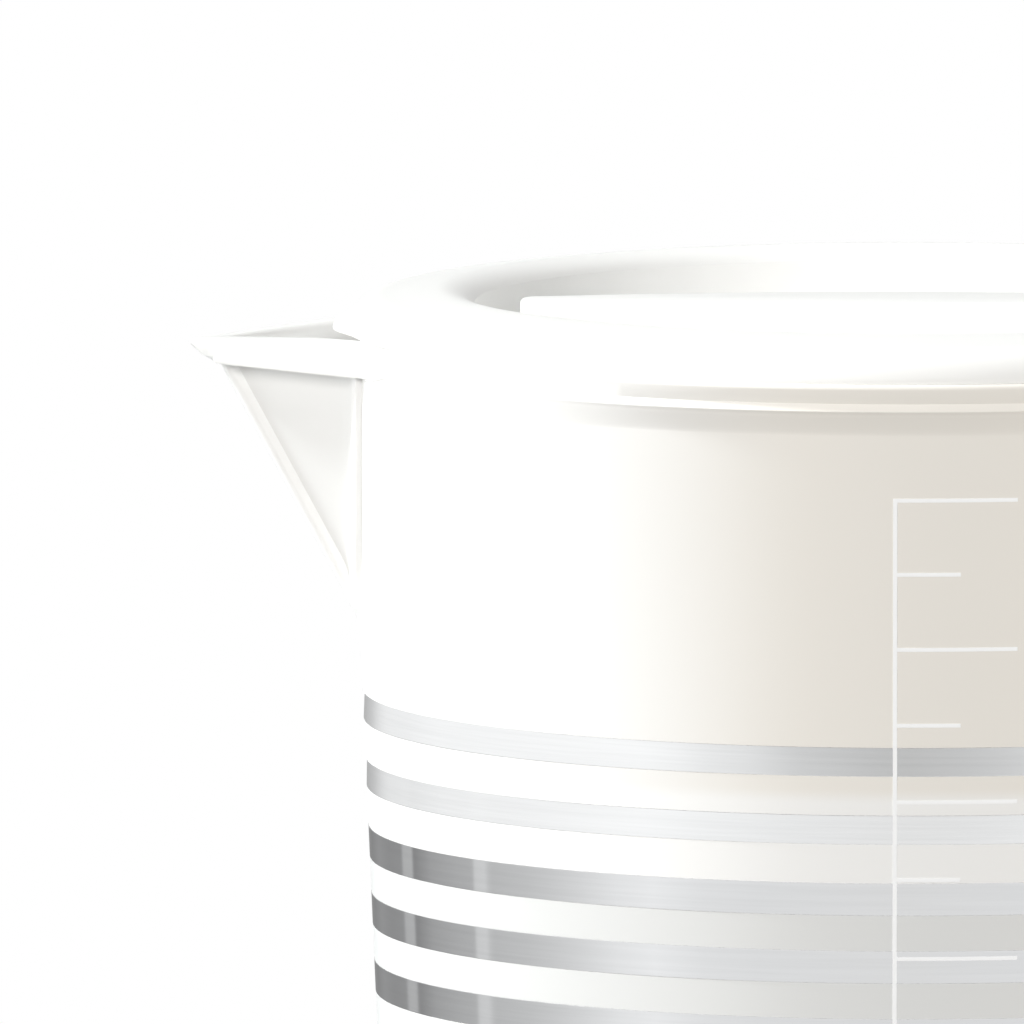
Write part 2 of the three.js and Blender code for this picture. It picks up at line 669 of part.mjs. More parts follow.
/** The hollow grip bar, staked to the recess floor by two pegs. */
function lidGrip() {
  const bottom = RECESS_FLOOR + FIT_GAP;
  const top = CREST_HEIGHT - GRIP_BELOW_CREST;
  const outside = new THREE.ExtrudeGeometry(lensShape(GRIP_HALF_LENGTH, GRIP_HALF_WIDTH, GRIP_END_ROUND), {
    depth: top - bottom - 2 * GRIP_EDGE,
    bevelSize: GRIP_EDGE,
    bevelThickness: GRIP_EDGE,
    bevelOffset: -GRIP_EDGE,
    bevelSegments: 1,
  });
  const hollowShape = lensShape(
    GRIP_HALF_LENGTH - GRIP_END_WALL,
    GRIP_HALF_WIDTH - GRIP_WALL,
    GRIP_END_ROUND / 2,
  );
  const hollow = new THREE.ExtrudeGeometry(hollowShape, {
    depth: top - GRIP_WALL - bottom + CUT_OVERRUN,
    bevelEnabled: false,
  });
  let bar = solid(outside.translate(0, 0, bottom + GRIP_EDGE))
    .subtract(solid(hollow.translate(0, 0, bottom - CUT_OVERRUN)));
  for (const x of [-PEG_HALF_SPACING, PEG_HALF_SPACING]) {
    bar = bar.add(peg(x, PEG_RADIUS, LID_UNDERSIDE - PEG_STAKE, top - GRIP_WALL / 2));
  }
  return bar;
}

// Materials

const whitePlastic = new THREE.MeshStandardMaterial({ color: 0xf4f1ec, roughness: 0.22, metalness: 0 });
const steel = new THREE.MeshStandardMaterial({ color: 0xc4c6c7, roughness: 0.15, metalness: 1 });
const screwSteel = new THREE.MeshStandardMaterial({ color: 0xa9abad, roughness: 0.35, metalness: 1 });
const silicone = new THREE.MeshStandardMaterial({ color: 0xdcdcda, roughness: 0.6, metalness: 0 });

// Assembly

/** A named mesh from a solid. */
function piece(name, shape, material) {
  const mesh = new THREE.Mesh(toGeometry(shape), material);
  mesh.name = name;
  return mesh;
}

const jug = new THREE.Group();
jug.add(piece('jug_body', jugBody(), whitePlastic));
for (let place = 0; place < HOOP_COUNT; place += 1) {
  jug.add(piece(`hoop_${String(place + 1).padStart(2, '0')}`, hoop(place), steel));
}
jug.add(piece('base_cup', baseCup(), whitePlastic));
jug.add(piece('foot_pad', footPad(), silicone));
jug.add(piece('handle_frame', handleFrame(), whitePlastic));
jug.add(piece('handle_cover', handleStrip(0, 0), whitePlastic));
jug.add(piece('upper_handle_screw', handleScrew(UPPER_BOSS_HEIGHT), screwSteel));
jug.add(piece('lower_handle_screw', handleScrew(LOWER_BOSS_HEIGHT), screwSteel));

const lid = new THREE.Group();
lid.add(piece('lid_dish', lidDish(), whitePlastic));
lid.add(piece('lid_grip', lidGrip(), whitePlastic));
lid.add(piece('lid_seal', lidSeal(), silicone));
jug.add(lid);

export default jug;
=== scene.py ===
"""Measuring jug: the visible model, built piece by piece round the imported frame.

All sizes are in millimetres until a mesh is made; the meshes themselves are in metres.
The jug stands on the origin, its spout points to -X, its handle to +X, and the scale faces -Y.
"""

from __future__ import annotations

import logging
from dataclasses import dataclass
from enum import Enum
from math import asin, atan2, copysign, cos, pi, radians, sin, sqrt, tan
from typing import Callable, Sequence

import bmesh
import bpy
from mathutils import Matrix, Vector

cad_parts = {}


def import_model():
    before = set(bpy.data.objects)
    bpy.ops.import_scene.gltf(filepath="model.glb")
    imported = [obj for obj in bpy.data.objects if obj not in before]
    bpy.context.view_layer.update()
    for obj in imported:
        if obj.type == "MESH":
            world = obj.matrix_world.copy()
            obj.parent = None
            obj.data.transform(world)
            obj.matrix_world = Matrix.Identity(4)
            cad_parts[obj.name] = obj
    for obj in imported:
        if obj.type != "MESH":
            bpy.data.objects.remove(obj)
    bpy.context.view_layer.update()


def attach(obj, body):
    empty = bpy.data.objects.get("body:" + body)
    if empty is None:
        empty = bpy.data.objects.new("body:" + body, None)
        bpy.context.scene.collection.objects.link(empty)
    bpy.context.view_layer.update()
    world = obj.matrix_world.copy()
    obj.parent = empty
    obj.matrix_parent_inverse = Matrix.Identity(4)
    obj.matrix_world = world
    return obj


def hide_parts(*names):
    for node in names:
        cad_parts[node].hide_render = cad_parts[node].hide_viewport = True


LOG = logging.getLogger("measuring_jug")
MM = 0.001
SHARP_ANGLE = radians(38.0)
SPOUT_SIDE = radians(45.0)
WELD = 1e-4
NOISE_SPAN = (0.3, 0.7)
WHOLE = (0.0, 1.0)

Form = bmesh.types.BMesh
Material = bpy.types.Material
Node = bpy.types.Node
Piece = bpy.types.Object
Socket = bpy.types.NodeSocket

Pair = tuple[float, float]
Point = tuple[float, float, float]
Row = list[Point]
Outline = list[Pair]
Stops = tuple[Pair, ...]
Measure = Callable[[float], float]
Swelling = Callable[[float, float, float], float]


# Small mathematics


def smooth_max(first: float, second: float, blend: float) -> float:
    """Return the larger of two values, with a rounded change-over where they differ by less than blend."""
    share = max(blend - abs(first - second), 0.0) / blend
    return max(first, second) + share * share * blend / 4.0


def smooth_min(first: float, second: float, blend: float) -> float:
    """Return the smaller of two values with a rounded change-over."""
    return -smooth_max(-first, -second, blend)


def ease(low: float, high: float, value: float) -> float:
    """Return 0 below low, 1 above high, and a smooth rise between; low may be the larger."""
    share = min(max((value - low) / (high - low), 0.0), 1.0)
    return share * share * (3.0 - 2.0 * share)


def spaced(first: float, last: float, count: int) -> list[float]:
    """Return count + 1 evenly spaced values, both ends included."""
    return [first + (last - first) * step / count for step in range(count + 1)]


def full_turn(count: int) -> list[float]:
    """Return evenly spaced angles once round."""
    return [2.0 * pi * step / count for step in range(count)]


def arc_points(centre: Pair, radius: Pair, start: float, end: float, count: int) -> Outline:
    """Return count + 1 points of an elliptic arc; its angles are in degrees, 0 across and 90 up."""
    angles = [radians(angle) for angle in spaced(start, end, count)]
    return [(centre[0] + radius[0] * cos(a), centre[1] + radius[1] * sin(a)) for a in angles]


def rounded_path(corners: Sequence[Point], arc_steps: int, line_steps: int) -> Outline:
    """Return an open path whose inner corners are rounded by arcs.

    Args:
        corners: Corners as (x, z, radius); the first and last are the ends.
        arc_steps: Steps in each rounded corner.
        line_steps: Steps in each straight stretch.

    Returns:
        The path's points, the same number for any path with as many corners.
    """
    path: Outline = []
    last = Vector(corners[0][:2])
    for before, here, after in zip(corners, corners[1:], corners[2:]):
        corner = Vector(here[:2])
        to_before = (Vector(before[:2]) - corner).normalized()
        to_after = (Vector(after[:2]) - corner).normalized()
        half_angle = to_before.angle(to_after) / 2.0
        middle = (to_before + to_after).normalized()
        centre = corner + middle * (here[2] / sin(half_angle))
        first = corner + to_before * (here[2] / tan(half_angle))
        final = corner + to_after * (here[2] / tan(half_angle))
        path += [tuple(last.lerp(first, step / line_steps)) for step in range(line_steps)]
        spoke = first - centre
        sweep = spoke.angle_signed(final - centre)
        for step in range(arc_steps):
            turned = Matrix.Rotation(-sweep * step / arc_steps, 2) @ spoke
            path.append(tuple(centre + turned))
        last = final
    end = Vector(corners[-1][:2])
    path += [tuple(last.lerp(end, step / line_steps)) for step in range(line_steps + 1)]
    return path


# Meshes


def add_object(name: str, data: bpy.types.ID) -> Piece:
    """Make an object and link it to the scene."""
    made = bpy.data.objects.new(name, data)
    bpy.context.scene.collection.objects.link(made)
    return made


def finish_mesh(name: str, form: Form, sharp: float = SHARP_ANGLE) -> Piece:
    """Turn a form in millimetres into a shaded object at the origin, in metres.

    Args:
        name: Name of the piece.
        form: The mesh under construction; it is freed.
        sharp: Angle between faces from which an edge stays sharp.

    Returns:
        The new object, linked to the scene.
    """
    bmesh.ops.remove_doubles(form, verts=form.verts, dist=WELD)
    bmesh.ops.recalc_face_normals(form, faces=form.faces)
    bmesh.ops.scale(form, vec=Vector((MM, MM, MM)), verts=form.verts)
    mesh = bpy.data.meshes.new(name)
    form.to_mesh(mesh)
    form.free()
    mesh.shade_smooth()
    mesh.set_sharp_from_angle(angle=sharp)
    return add_object(name, mesh)


def add_rows(form: Form, rows: Sequence[Row], capped: bool = True, joined: bool = False) -> None:
    """Add a skin through closed rows of points.

    Args:
        form: The mesh to add to.
        rows: Rows of equally many points; a row of one point is a pole.
        capped: Whether the first and last rows are closed by a face.
        joined: Whether the last row runs on into the first.
    """
    made = [[form.verts.new(point) for point in row] for row in rows]
    pairs = list(zip(made, made[1:]))
    if joined:
        pairs.append((made[-1], made[0]))
    for lower, upper in pairs:
        count = max(len(lower), len(upper))
        for step in range(count):
            after = (step + 1) % count
            corners = [
                lower[step % len(lower)],
                lower[after % len(lower)],
                upper[after % len(upper)],
                upper[step % len(upper)],
            ]
            form.faces.new(list(dict.fromkeys(corners)))
    if capped and not joined:
        for row in (made[0], made[-1]):
            if len(row) > 2:
                form.faces.new(row)


def skinned(name: str, *skins: Sequence[Row]) -> Piece:
    """Make a piece from one or more closed skins of rows."""
    form = bmesh.new()
    for rows in skins:
        add_rows(form, rows)
    return finish_mesh(name, form)


def turned_rows(profile: Outline, columns: int, swelling: Swelling | None = None) -> list[Row]:
    """Turn a profile about the jug's axis.

    Args:
        profile: Places as (radius, height); radius 0 gives a pole.
        columns: Number of columns.
        swelling: How far the skin stands out at a radius, height and angle, if it isn't round.

    Returns:
        The rows.
    """
    rows: list[Row] = []
    for radius, height in profile:
        row: Row = []
        for angle in full_turn(columns if radius > 0.0 else 1):
            out = radius + (swelling(radius, height, angle) if swelling else 0.0)
            row.append((out * cos(angle), out * sin(angle), height))
        rows.append(row)
    return rows


def apply_modifiers(piece: Piece) -> bpy.types.Mesh:
    """Turn a piece with its modifiers into a plain mesh, and return that mesh."""
    graph = bpy.context.evaluated_depsgraph_get()
    mesh = bpy.data.meshes.new_from_object(piece.evaluated_get(graph))
    piece.modifiers.clear()
    old = piece.data
    piece.data = mesh
    bpy.data.meshes.remove(old)
    mesh.name = piece.name
    return mesh


def carve(target: Piece, form: Form) -> None:
    """Cut a form in millimetres out of a piece."""
    cutter = finish_mesh("cutter", form)
    modifier = target.modifiers.new("carve", "BOOLEAN")
    modifier.operation = "DIFFERENCE"
    modifier.solver = "EXACT"
    modifier.object = cutter
    apply_modifiers(target).set_sharp_from_angle(angle=SHARP_ANGLE)
    waste = cutter.data
    bpy.data.objects.remove(cutter)
    bpy.data.meshes.remove(waste)


def round_bar(start: Vector, end: Vector, radius: float, sides: int = 48) -> list[Row]:
    """Return the rows of a plain bar between two points, for drilling."""
    along = (end - start).normalized()
    turn = along.to_track_quat("Z", "Y")
    rows: list[Row] = []
    for middle in (start, end):
        ring = []
        for angle in full_turn(sides):
            spoke = turn @ Vector((radius * cos(angle), radius * sin(angle), 0.0))
            ring.append(tuple(middle + spoke))
        rows.append(ring)
    return rows


def evaluate_tree(
    name: str,
    tree: bpy.types.NodeTree,
    names: dict[str, str],
    values: dict[str, object],
    source: bpy.types.Mesh | None = None,
    sharp: float = radians(20.0),
) -> Piece:
    """Run a geometry node tree once and keep its result as a plain mesh.

    Args:
        name: Name of the piece.
        tree: The node tree.
        names: Socket identifiers by name.
        values: Input values by name.
        source: Mesh that the tree starts from.
        sharp: Angle between faces from which an edge stays sharp.

    Returns:
        The new object, without any modifier.
    """
    piece = add_object(name, source or bpy.data.meshes.new(name + "_seed"))
    modifier = piece.modifiers.new("shape", "NODES")
    modifier.node_group = tree
    for key, value in values.items():
        modifier[names[key]] = value
    result = apply_modifiers(piece)
    form = bmesh.new()
    form.from_mesh(result)
    bmesh.ops.remove_doubles(form, verts=form.verts, dist=WELD * MM)
    bmesh.ops.recalc_face_normals(form, faces=form.faces)
    form.to_mesh(result)
    form.free()
    result.shade_smooth()
    result.set_sharp_from_angle(angle=sharp)
    return piece


# Node building


@dataclass
class Wiring:
    """A node tree under construction, with short ways to add and join nodes."""

    tree: bpy.types.NodeTree

    def add(self, kind: str, values: dict | None = None, **settings: str) -> Node:
        """Add a node.

        Args:
            kind: Blender's name for the node type.
            values: Input values by socket name or place.
            settings: Properties to set on the node.

        Returns:
            The new node.
        """
        node = self.tree.nodes.new(kind)
        for name, value in settings.items():
            setattr(node, name, value)
        for key, value in (values or {}).items():
            if isinstance(value, Socket):
                self.tree.links.new(value, node.inputs[key])
            else:
                node.inputs[key].default_value = value
        return node

    def maths(self, operation: str, *values: object) -> Socket:
        """Add a Math node and return its result."""
        return self.add("ShaderNodeMath", dict(enumerate(values)), operation=operation).outputs[0]

    def vector_maths(self, operation: str, *values: object) -> Socket:
        """Add a Vector Math node and return its vector."""
        return self.add("ShaderNodeVectorMath", dict(enumerate(values)), operation=operation).outputs[0]

    def ranged(self, value: object, source: Pair, target: Pair = WHOLE) -> Socket:
        """Map a value smoothly from one range to another.

        Args:
            value: The value.
            source: Range that it is read in.
            target: Range that it is turned into.

        Returns:
            The result, which never leaves the target range.
        """
        ends = {"From Min": source[0], "From Max": source[1], "To Min": target[0], "To Max": target[1]}
        values = {"Value": value, **ends}
        node = self.add("ShaderNodeMapRange", values, interpolation_type="SMOOTHSTEP")
        return node.outputs["Result"]

    def noise(self, place: object, scale: float, detail: float = 2.0) -> Socket:
        """Add a Noise Texture and return its factor."""
        node = self.add("ShaderNodeTexNoise", {"Vector": place, "Scale": scale, "Detail": detail})
        return node.outputs["Fac"]

    def blended(self, share: object, first: object, second: object) -> Socket:
        """Mix two colours, each a socket or plain red, green and blue, and return the result."""
        colours = [(*value, 1.0) if isinstance(value, tuple) else value for value in (first, second)]
        values = {0: share, 6: colours[0], 7: colours[1]}
        return self.add("ShaderNodeMix", values, data_type="RGBA").outputs[2]

    def place(self) -> Socket:
        """Return the place on the object, in metres."""
        return self.add("ShaderNodeTexCoord").outputs["Object"]

    def join(self, value: Socket, node: Node, name: str) -> None:
        """Join a value to an input of a node."""
        self.tree.links.new(value, node.inputs[name])

    def roughen(self, shader: Node, height: object, strength: float, distance: float) -> None:
        """Give a shader a fine relief from a height value."""
        values = {"Strength": strength, "Distance": distance, "Height": height}
        bump = self.add("ShaderNodeBump", values)
        self.join(bump.outputs[0], shader, "Normal")

    def set_material(self, geometry: Socket, finish: Socket) -> None:
        """Dress a tree's geometry and hand it out."""
        dressed = self.add("GeometryNodeSetMaterial", {"Geometry": geometry, "Material": finish})
        self.add("NodeGroupOutput", {"Geometry": dressed.outputs[0]})


def new_tree(name: str, sizes: Sequence[str]) -> tuple[Wiring, dict[str, str]]:
    """Make an empty geometry node tree.

    Args:
        name: Name of the tree.
        sizes: Names of its number inputs.

    Returns:
        The tree's wiring, and its inputs' identifiers by name, with the material input Finish.
    """
    tree = bpy.data.node_groups.new(name, "GeometryNodeTree")
    tree.interface.new_socket("Geometry", in_out="INPUT", socket_type="NodeSocketGeometry")
    names = {}
    for size in sizes:
        socket = tree.interface.new_socket(size, in_out="INPUT", socket_type="NodeSocketFloat")
        names[size] = socket.identifier
    socket = tree.interface.new_socket("Finish", in_out="INPUT", socket_type="NodeSocketMaterial")
    names["Finish"] = socket.identifier
    tree.interface.new_socket("Geometry", in_out="OUTPUT", socket_type="NodeSocketGeometry")
    return Wiring(tree), names


def new_material(name: str) -> tuple[Material, Wiring, Node]:
    """Make an empty material.

    Args:
        name: Name of the finish.

    Returns:
        The material, its wiring and its shader node.
    """
    material = bpy.data.materials.new(name)
    material.use_nodes = True
    wiring = Wiring(material.node_tree)
    material.node_tree.nodes.clear()
    shader = wiring.add("ShaderNodeBsdfPrincipled")
    wiring.add("ShaderNodeOutputMaterial", {"Surface": shader.outputs[0]})
    return material, wiring, shader


class Tone(Enum):
    """Whether a white piece's colour carries painted shade, which runs with its height and side."""

    PLAIN = "plain"
    GRADED = "graded"


@dataclass(frozen=True)
class WhitePlastic:
    """Glossy moulded white plastic; on the vessel its colour carries painted shade, darker and cooler low
    on the banded wall and warm on the collar's shaded side.
    """

    white: Point = (0.885, 0.885, 0.875)
    # Painted shade: the warm tint of the collar's shaded side towards +X.
    warm: Point = (0.872, 0.845, 0.795)
    bright: Point = (0.930, 0.932, 0.925)
    # Painted shade: the darker, cooler colour of the banded wall below cool_below.
    cool: Point = (0.762, 0.772, 0.770)
    warm_above: float = 141.2
    cool_below: float = 132.0
    change: float = 0.8
    # Range along X, in millimetres, over which the painted warm shade comes in on the collar.
    warm_side: Pair = (-30.0, -8.0)
    roughness: float = 0.30
    rougher: float = 0.06
    glossier: float = 0.05
    grain_scale: float = 900.0
    grain_detail: float = 3.0
    grain_strength: float = 0.04
    grain_height: float = 0.0002
    cloud_scale: float = 22.0
    cloud_span: Pair = (0.1, 0.9)
    cloud_share: float = 0.6
    cloud_tone: float = 0.965
    ior: float = 1.46

    def above(self, level: float, height: Socket, wiring: Wiring) -> Socket:
        """Return a share that rises from 0 to 1 round a level in millimetres."""
        return wiring.ranged(height, ((level - self.change) * MM, (level + self.change) * MM))

    def graded(self, place: Socket, wiring: Wiring) -> Socket:
        """Return the vessel's painted shading: the banded wall is darker and cooler below cool_below and
        lighter above it, and the collar is warmer on its shaded side, towards +X where the scale is.
        """
        parts = wiring.add("ShaderNodeSeparateXYZ", {0: place}).outputs
        on_collar = self.above(self.warm_above, parts["Z"], wiring)
        # Painted shade: below cool_below the banded wall turns darker and cooler.
        on_wall = self.above(self.cool_below, parts["Z"], wiring)
        wall = wiring.blended(on_wall, self.cool, self.bright)
        # Painted shade: the collar turns warm towards +X, on its shaded side.
        start, end = self.warm_side
        on_side = wiring.ranged(parts["X"], (start * MM, end * MM))
        collar = wiring.blended(on_side, self.white, self.warm)
        return wiring.blended(on_collar, wall, collar)

    def build(self, name: str, tone: Tone) -> Material:
        """Build the finish.

        Args:
            name: Name of the material.
            tone: Whether the colour changes with height.

        Returns:
            The material.
        """
        material, wiring, shader = new_material(name)
        place = wiring.place()
        base = self.graded(place, wiring) if tone is Tone.GRADED else self.white
        cloud = wiring.noise(place, self.cloud_scale)
        darker = wiring.blended(1.0, base, (self.cloud_tone,) * 3)
        darker.node.blend_type = "MULTIPLY"
        share = wiring.ranged(cloud, self.cloud_span, (0.0, self.cloud_share))
        wiring.join(wiring.blended(share, base, darker), shader, "Base Color")
        ends = (self.roughness - self.glossier, self.roughness + self.rougher)
        wiring.join(wiring.ranged(cloud, self.cloud_span, ends), shader, "Roughness")
        grain = wiring.noise(place, self.grain_scale, self.grain_detail)
        wiring.roughen(shader, grain, self.grain_strength, self.grain_height)
        shader.inputs["IOR"].default_value = self.ior
        return material


class SteelGrade(Enum):
    """The two surface grades of the steel hoops."""

    POLISHED = "polished"
    SATIN = "satin"


@dataclass(frozen=True)
class HoopSteel:
    """Stainless sheet with fine lines rolled round the hoop."""

    colour: Point = (0.78, 0.785, 0.79)
    satin_colour: Point = (0.90, 0.905, 0.905)
    polished_roughness: float = 0.06
    satin_roughness: float = 0.12
    rougher: float = 0.02
    glossier: float = 0.01
    stretch: Point = (0.02, 0.02, 1.0)
    line_scale: float = 2600.0
    line_tone: float = 0.965
    line_strength: float = 0.03
    line_height: float = 0.00003
    patch_scale: float = 35.0

    def build(self, name: str, grade: SteelGrade) -> Material:
        """Build the finish for one grade."""
        material, wiring, shader = new_material(name)
        place = wiring.place()
        lines = wiring.noise(wiring.vector_maths("MULTIPLY", place, self.stretch), self.line_scale)
        patches = wiring.noise(place, self.patch_scale)
        polished = grade is SteelGrade.POLISHED
        colour = self.colour if polished else self.satin_colour
        rough = self.polished_roughness if polished else self.satin_roughness
        dark = tuple(self.line_tone * channel for channel in colour)
        wiring.join(wiring.blended(wiring.ranged(lines, NOISE_SPAN), dark, colour), shader, "Base Color")
        gloss = wiring.ranged(patches, NOISE_SPAN, (rough - self.glossier, rough + self.rougher))
        wiring.join(gloss, shader, "Roughness")
        wiring.roughen(shader, lines, self.line_strength, self.line_height)
        shader.inputs["Metallic"].default_value = 1.0
        return material


@dataclass(frozen=True)
class Speckled:
    """A finish whose colour and gloss vary a little with a fine noise."""

    colour: Point
    tones: Pair
    roughness: Pair
    grain_scale: float
    grain_detail: float = 2.0
    stretch: Point | None = None
    cloud_scale: float | None = None
    relief: Pair | None = None
    metallic: float = 0.0
    ior: float = 1.5

    def build(self, name: str) -> Material:
        """Build the finish."""
        material, wiring, shader = new_material(name)
        place = wiring.place()
        stretched = wiring.vector_maths("MULTIPLY", place, self.stretch) if self.stretch else place
        grain = wiring.noise(stretched, self.grain_scale, self.grain_detail)
        cloud = wiring.noise(place, self.cloud_scale) if self.cloud_scale else grain
        first, second = [tuple(tone * channel for channel in self.colour) for tone in self.tones]
        wiring.join(wiring.blended(cloud, first, second), shader, "Base Color")
        wiring.join(wiring.ranged(grain, NOISE_SPAN, self.roughness), shader, "Roughness")
        if self.relief:
            wiring.roughen(shader, grain, *self.relief)
        shader.inputs["Metallic"].default_value = self.metallic
        shader.inputs["IOR"].default_value = self.ior
        return material


@dataclass(frozen=True)
class ScrewSteel(Speckled):
    """Plain steel with turning marks."""

    colour: Point = (0.60, 0.61, 0.62)
    tones: Pair = (0.85, 1.0)
    roughness: Pair = (0.29, 0.42)
    grain_scale: float = 4000.0
    stretch: Point | None = (1.0, 0.2, 0.2)
    metallic: float = 1.0


@dataclass(frozen=True)
class Silicone(Speckled):
    """Matt grey-white silicone rubber with a fine dusty grain."""

    colour: Point = (0.70, 0.70, 0.69)
    tones: Pair = (1.0, 1.05)
    roughness: Pair = (0.52, 0.66)
    grain_scale: float = 1400.0
    grain_detail: float = 3.0
    cloud_scale: float | None = 40.0
    relief: Pair | None = (0.15, 0.0001)
    ior: float = 1.41


@dataclass(frozen=True)
class PrintInk(Speckled):
    """Opaque silver-white ink of the printed scale."""

    colour: Point = (0.975, 0.975, 0.970)
    tones: Pair = (0.985, 1.0)
    roughness: Pair = (0.38, 0.48)
    grain_scale: float = 1800.0
    metallic: float = 0.8


class Finishes:
    """The finishes that the jug's pieces share."""

    def __init__(self) -> None:
        """Build every finish once."""
        plastic = WhitePlastic()
        # The vessel's finish carries painted shade; the cup shares it, and the other white pieces are
        # plain.
        self.vessel = plastic.build("vessel_plastic_painted_shade", Tone.GRADED)
        self.white = plastic.build("white_plastic", Tone.PLAIN)
        self.polished = HoopSteel().build("polished_hoop_steel", SteelGrade.POLISHED)
        self.satin = HoopSteel().build("satin_hoop_steel", SteelGrade.SATIN)
        self.screw = ScrewSteel().build("turned_screw_steel")
        self.silicone = Silicone().build("foot_silicone")
        self.ink = PrintInk().build("scale_ink")


def settle(piece: Piece, finish: Material, body: str, slot: str, *nodes: str) -> None:
    """Give a finished piece its material, its body and the nodes that it stands for.

    Args:
        piece: The piece.
        finish: Its material.
        body: Name of the body that it moves with.
        slot: The record's material slot; not used.
        nodes: Nodes of the frame that it replaces.
    """
    piece.data.materials.clear()
    piece.data.materials.append(finish)
    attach(piece, body)
    if nodes:
        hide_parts(*nodes)
    LOG.info("piece %s rides on %s with %d faces", piece.name, body, len(piece.data.polygons))


# The wall that everything is measured from


@dataclass(frozen=True)
class Wall:
    """The vessel's tapered wall and the gaps between moulded pieces."""

    height: float = 178.2
    rim_radius: float = 50.5
    taper: float = 0.043
    thickness: float = 1.8
    cup_wall: float = 2.0
    cup_top: float = 37.2
    fit_gap: float = 0.2

    def outer(self, height: float) -> float:
        """Return the wall's outer radius at a height."""
        return self.rim_radius - self.taper * (self.height - height)

    def inner(self, height: float) -> float:
        """Return the cavity's radius at a height above the cup."""
        return self.outer(height) - self.thickness

    def seated(self, height: float) -> float:
        """Return the vessel's outer radius inside the cup."""
        return self.outer(height) - self.cup_wall - self.fit_gap


@dataclass(frozen=True)
class Boss:
    """A block on the wall with a blind hole, which one end of the handle is screwed to."""

    height: float
    face: float
    root: float
    half_width: float = 6.5
    tall: float = 19.0
    corner: float = 1.8
    edge: float = 0.6
    flare: float = 1.4
    hole_radius: float = 1.6
    hole_depth: float = 5.5
    hole_height: float = 0.0
    sides: int = 64
    least_corner: float = 0.2
    sink: float = 0.05

    def ring(self, across: float, grow: float) -> Row:
        """Return a rounded rectangle's points at a place along X.

        Args:
            across: Place along X.
            grow: How far the outline lies outside the boss's own.

        Returns:
            The points, evenly spread by angle about the boss's middle.
        """
        half_y = self.half_width + grow
        half_z = self.tall / 2.0 + grow
        corner = max(self.corner + grow, self.least_corner)
        row: Row = []
        for angle in full_turn(self.sides):
            away = Vector((cos(angle) * half_y, sin(angle) * half_z))
            reach = max(abs(away.x) / half_y, abs(away.y) / half_z)
            place = away / reach
            limit = Vector((half_y - corner, half_z - corner))
            core = Vector((min(max(place.x, -limit.x), limit.x), min(max(place.y, -limit.y), limit.y)))
            spoke = place - core
            if spoke.length > 1e-9 and min(abs(place.x) - limit.x, abs(place.y) - limit.y) > 0.0:
                place = core + spoke.normalized() * corner
            row.append((across, place.x, self.height + place.y))
        return row

    def hole(self, across: float) -> Row:
        """Return the hole's circle at a place along X."""
        radius = self.hole_radius
        return [
            (across, radius * cos(angle), self.hole_height + radius * sin(angle))
            for angle in full_turn(self.sides)
        ]

    def rows(self, wall: Wall) -> list[Row]:
        """Return the boss's rows, from inside the wall out to its face and down its hole.

        Args:
            wall: The wall that the boss stands on.

        Returns:
            The rows, the first one buried in the wall.
        """
        rows = [self.ring(self.root, 0.0)]
        flare = self.flare
        for out, grow in arc_points((flare, flare), (-flare, -flare), 0.0, 90.0, 5):
            row = []
            for _, y, z in self.ring(0.0, grow):
                surface = sqrt(max(wall.outer(z) ** 2 - y * y, 0.0)) - self.sink
                row.append((surface + out, y, z))
            rows.append(row)
        edge = self.edge
        for grow, across in arc_points((-edge, self.face - edge), (edge, edge), 0.0, 90.0, 4):
            rows.append(self.ring(across, grow))
        rows.append(self.hole(self.face))
        rows.append(self.hole(self.face - self.hole_depth))
        rows.append([(self.face - self.hole_depth, 0.0, self.hole_height)])
        return rows


# Steel hoops


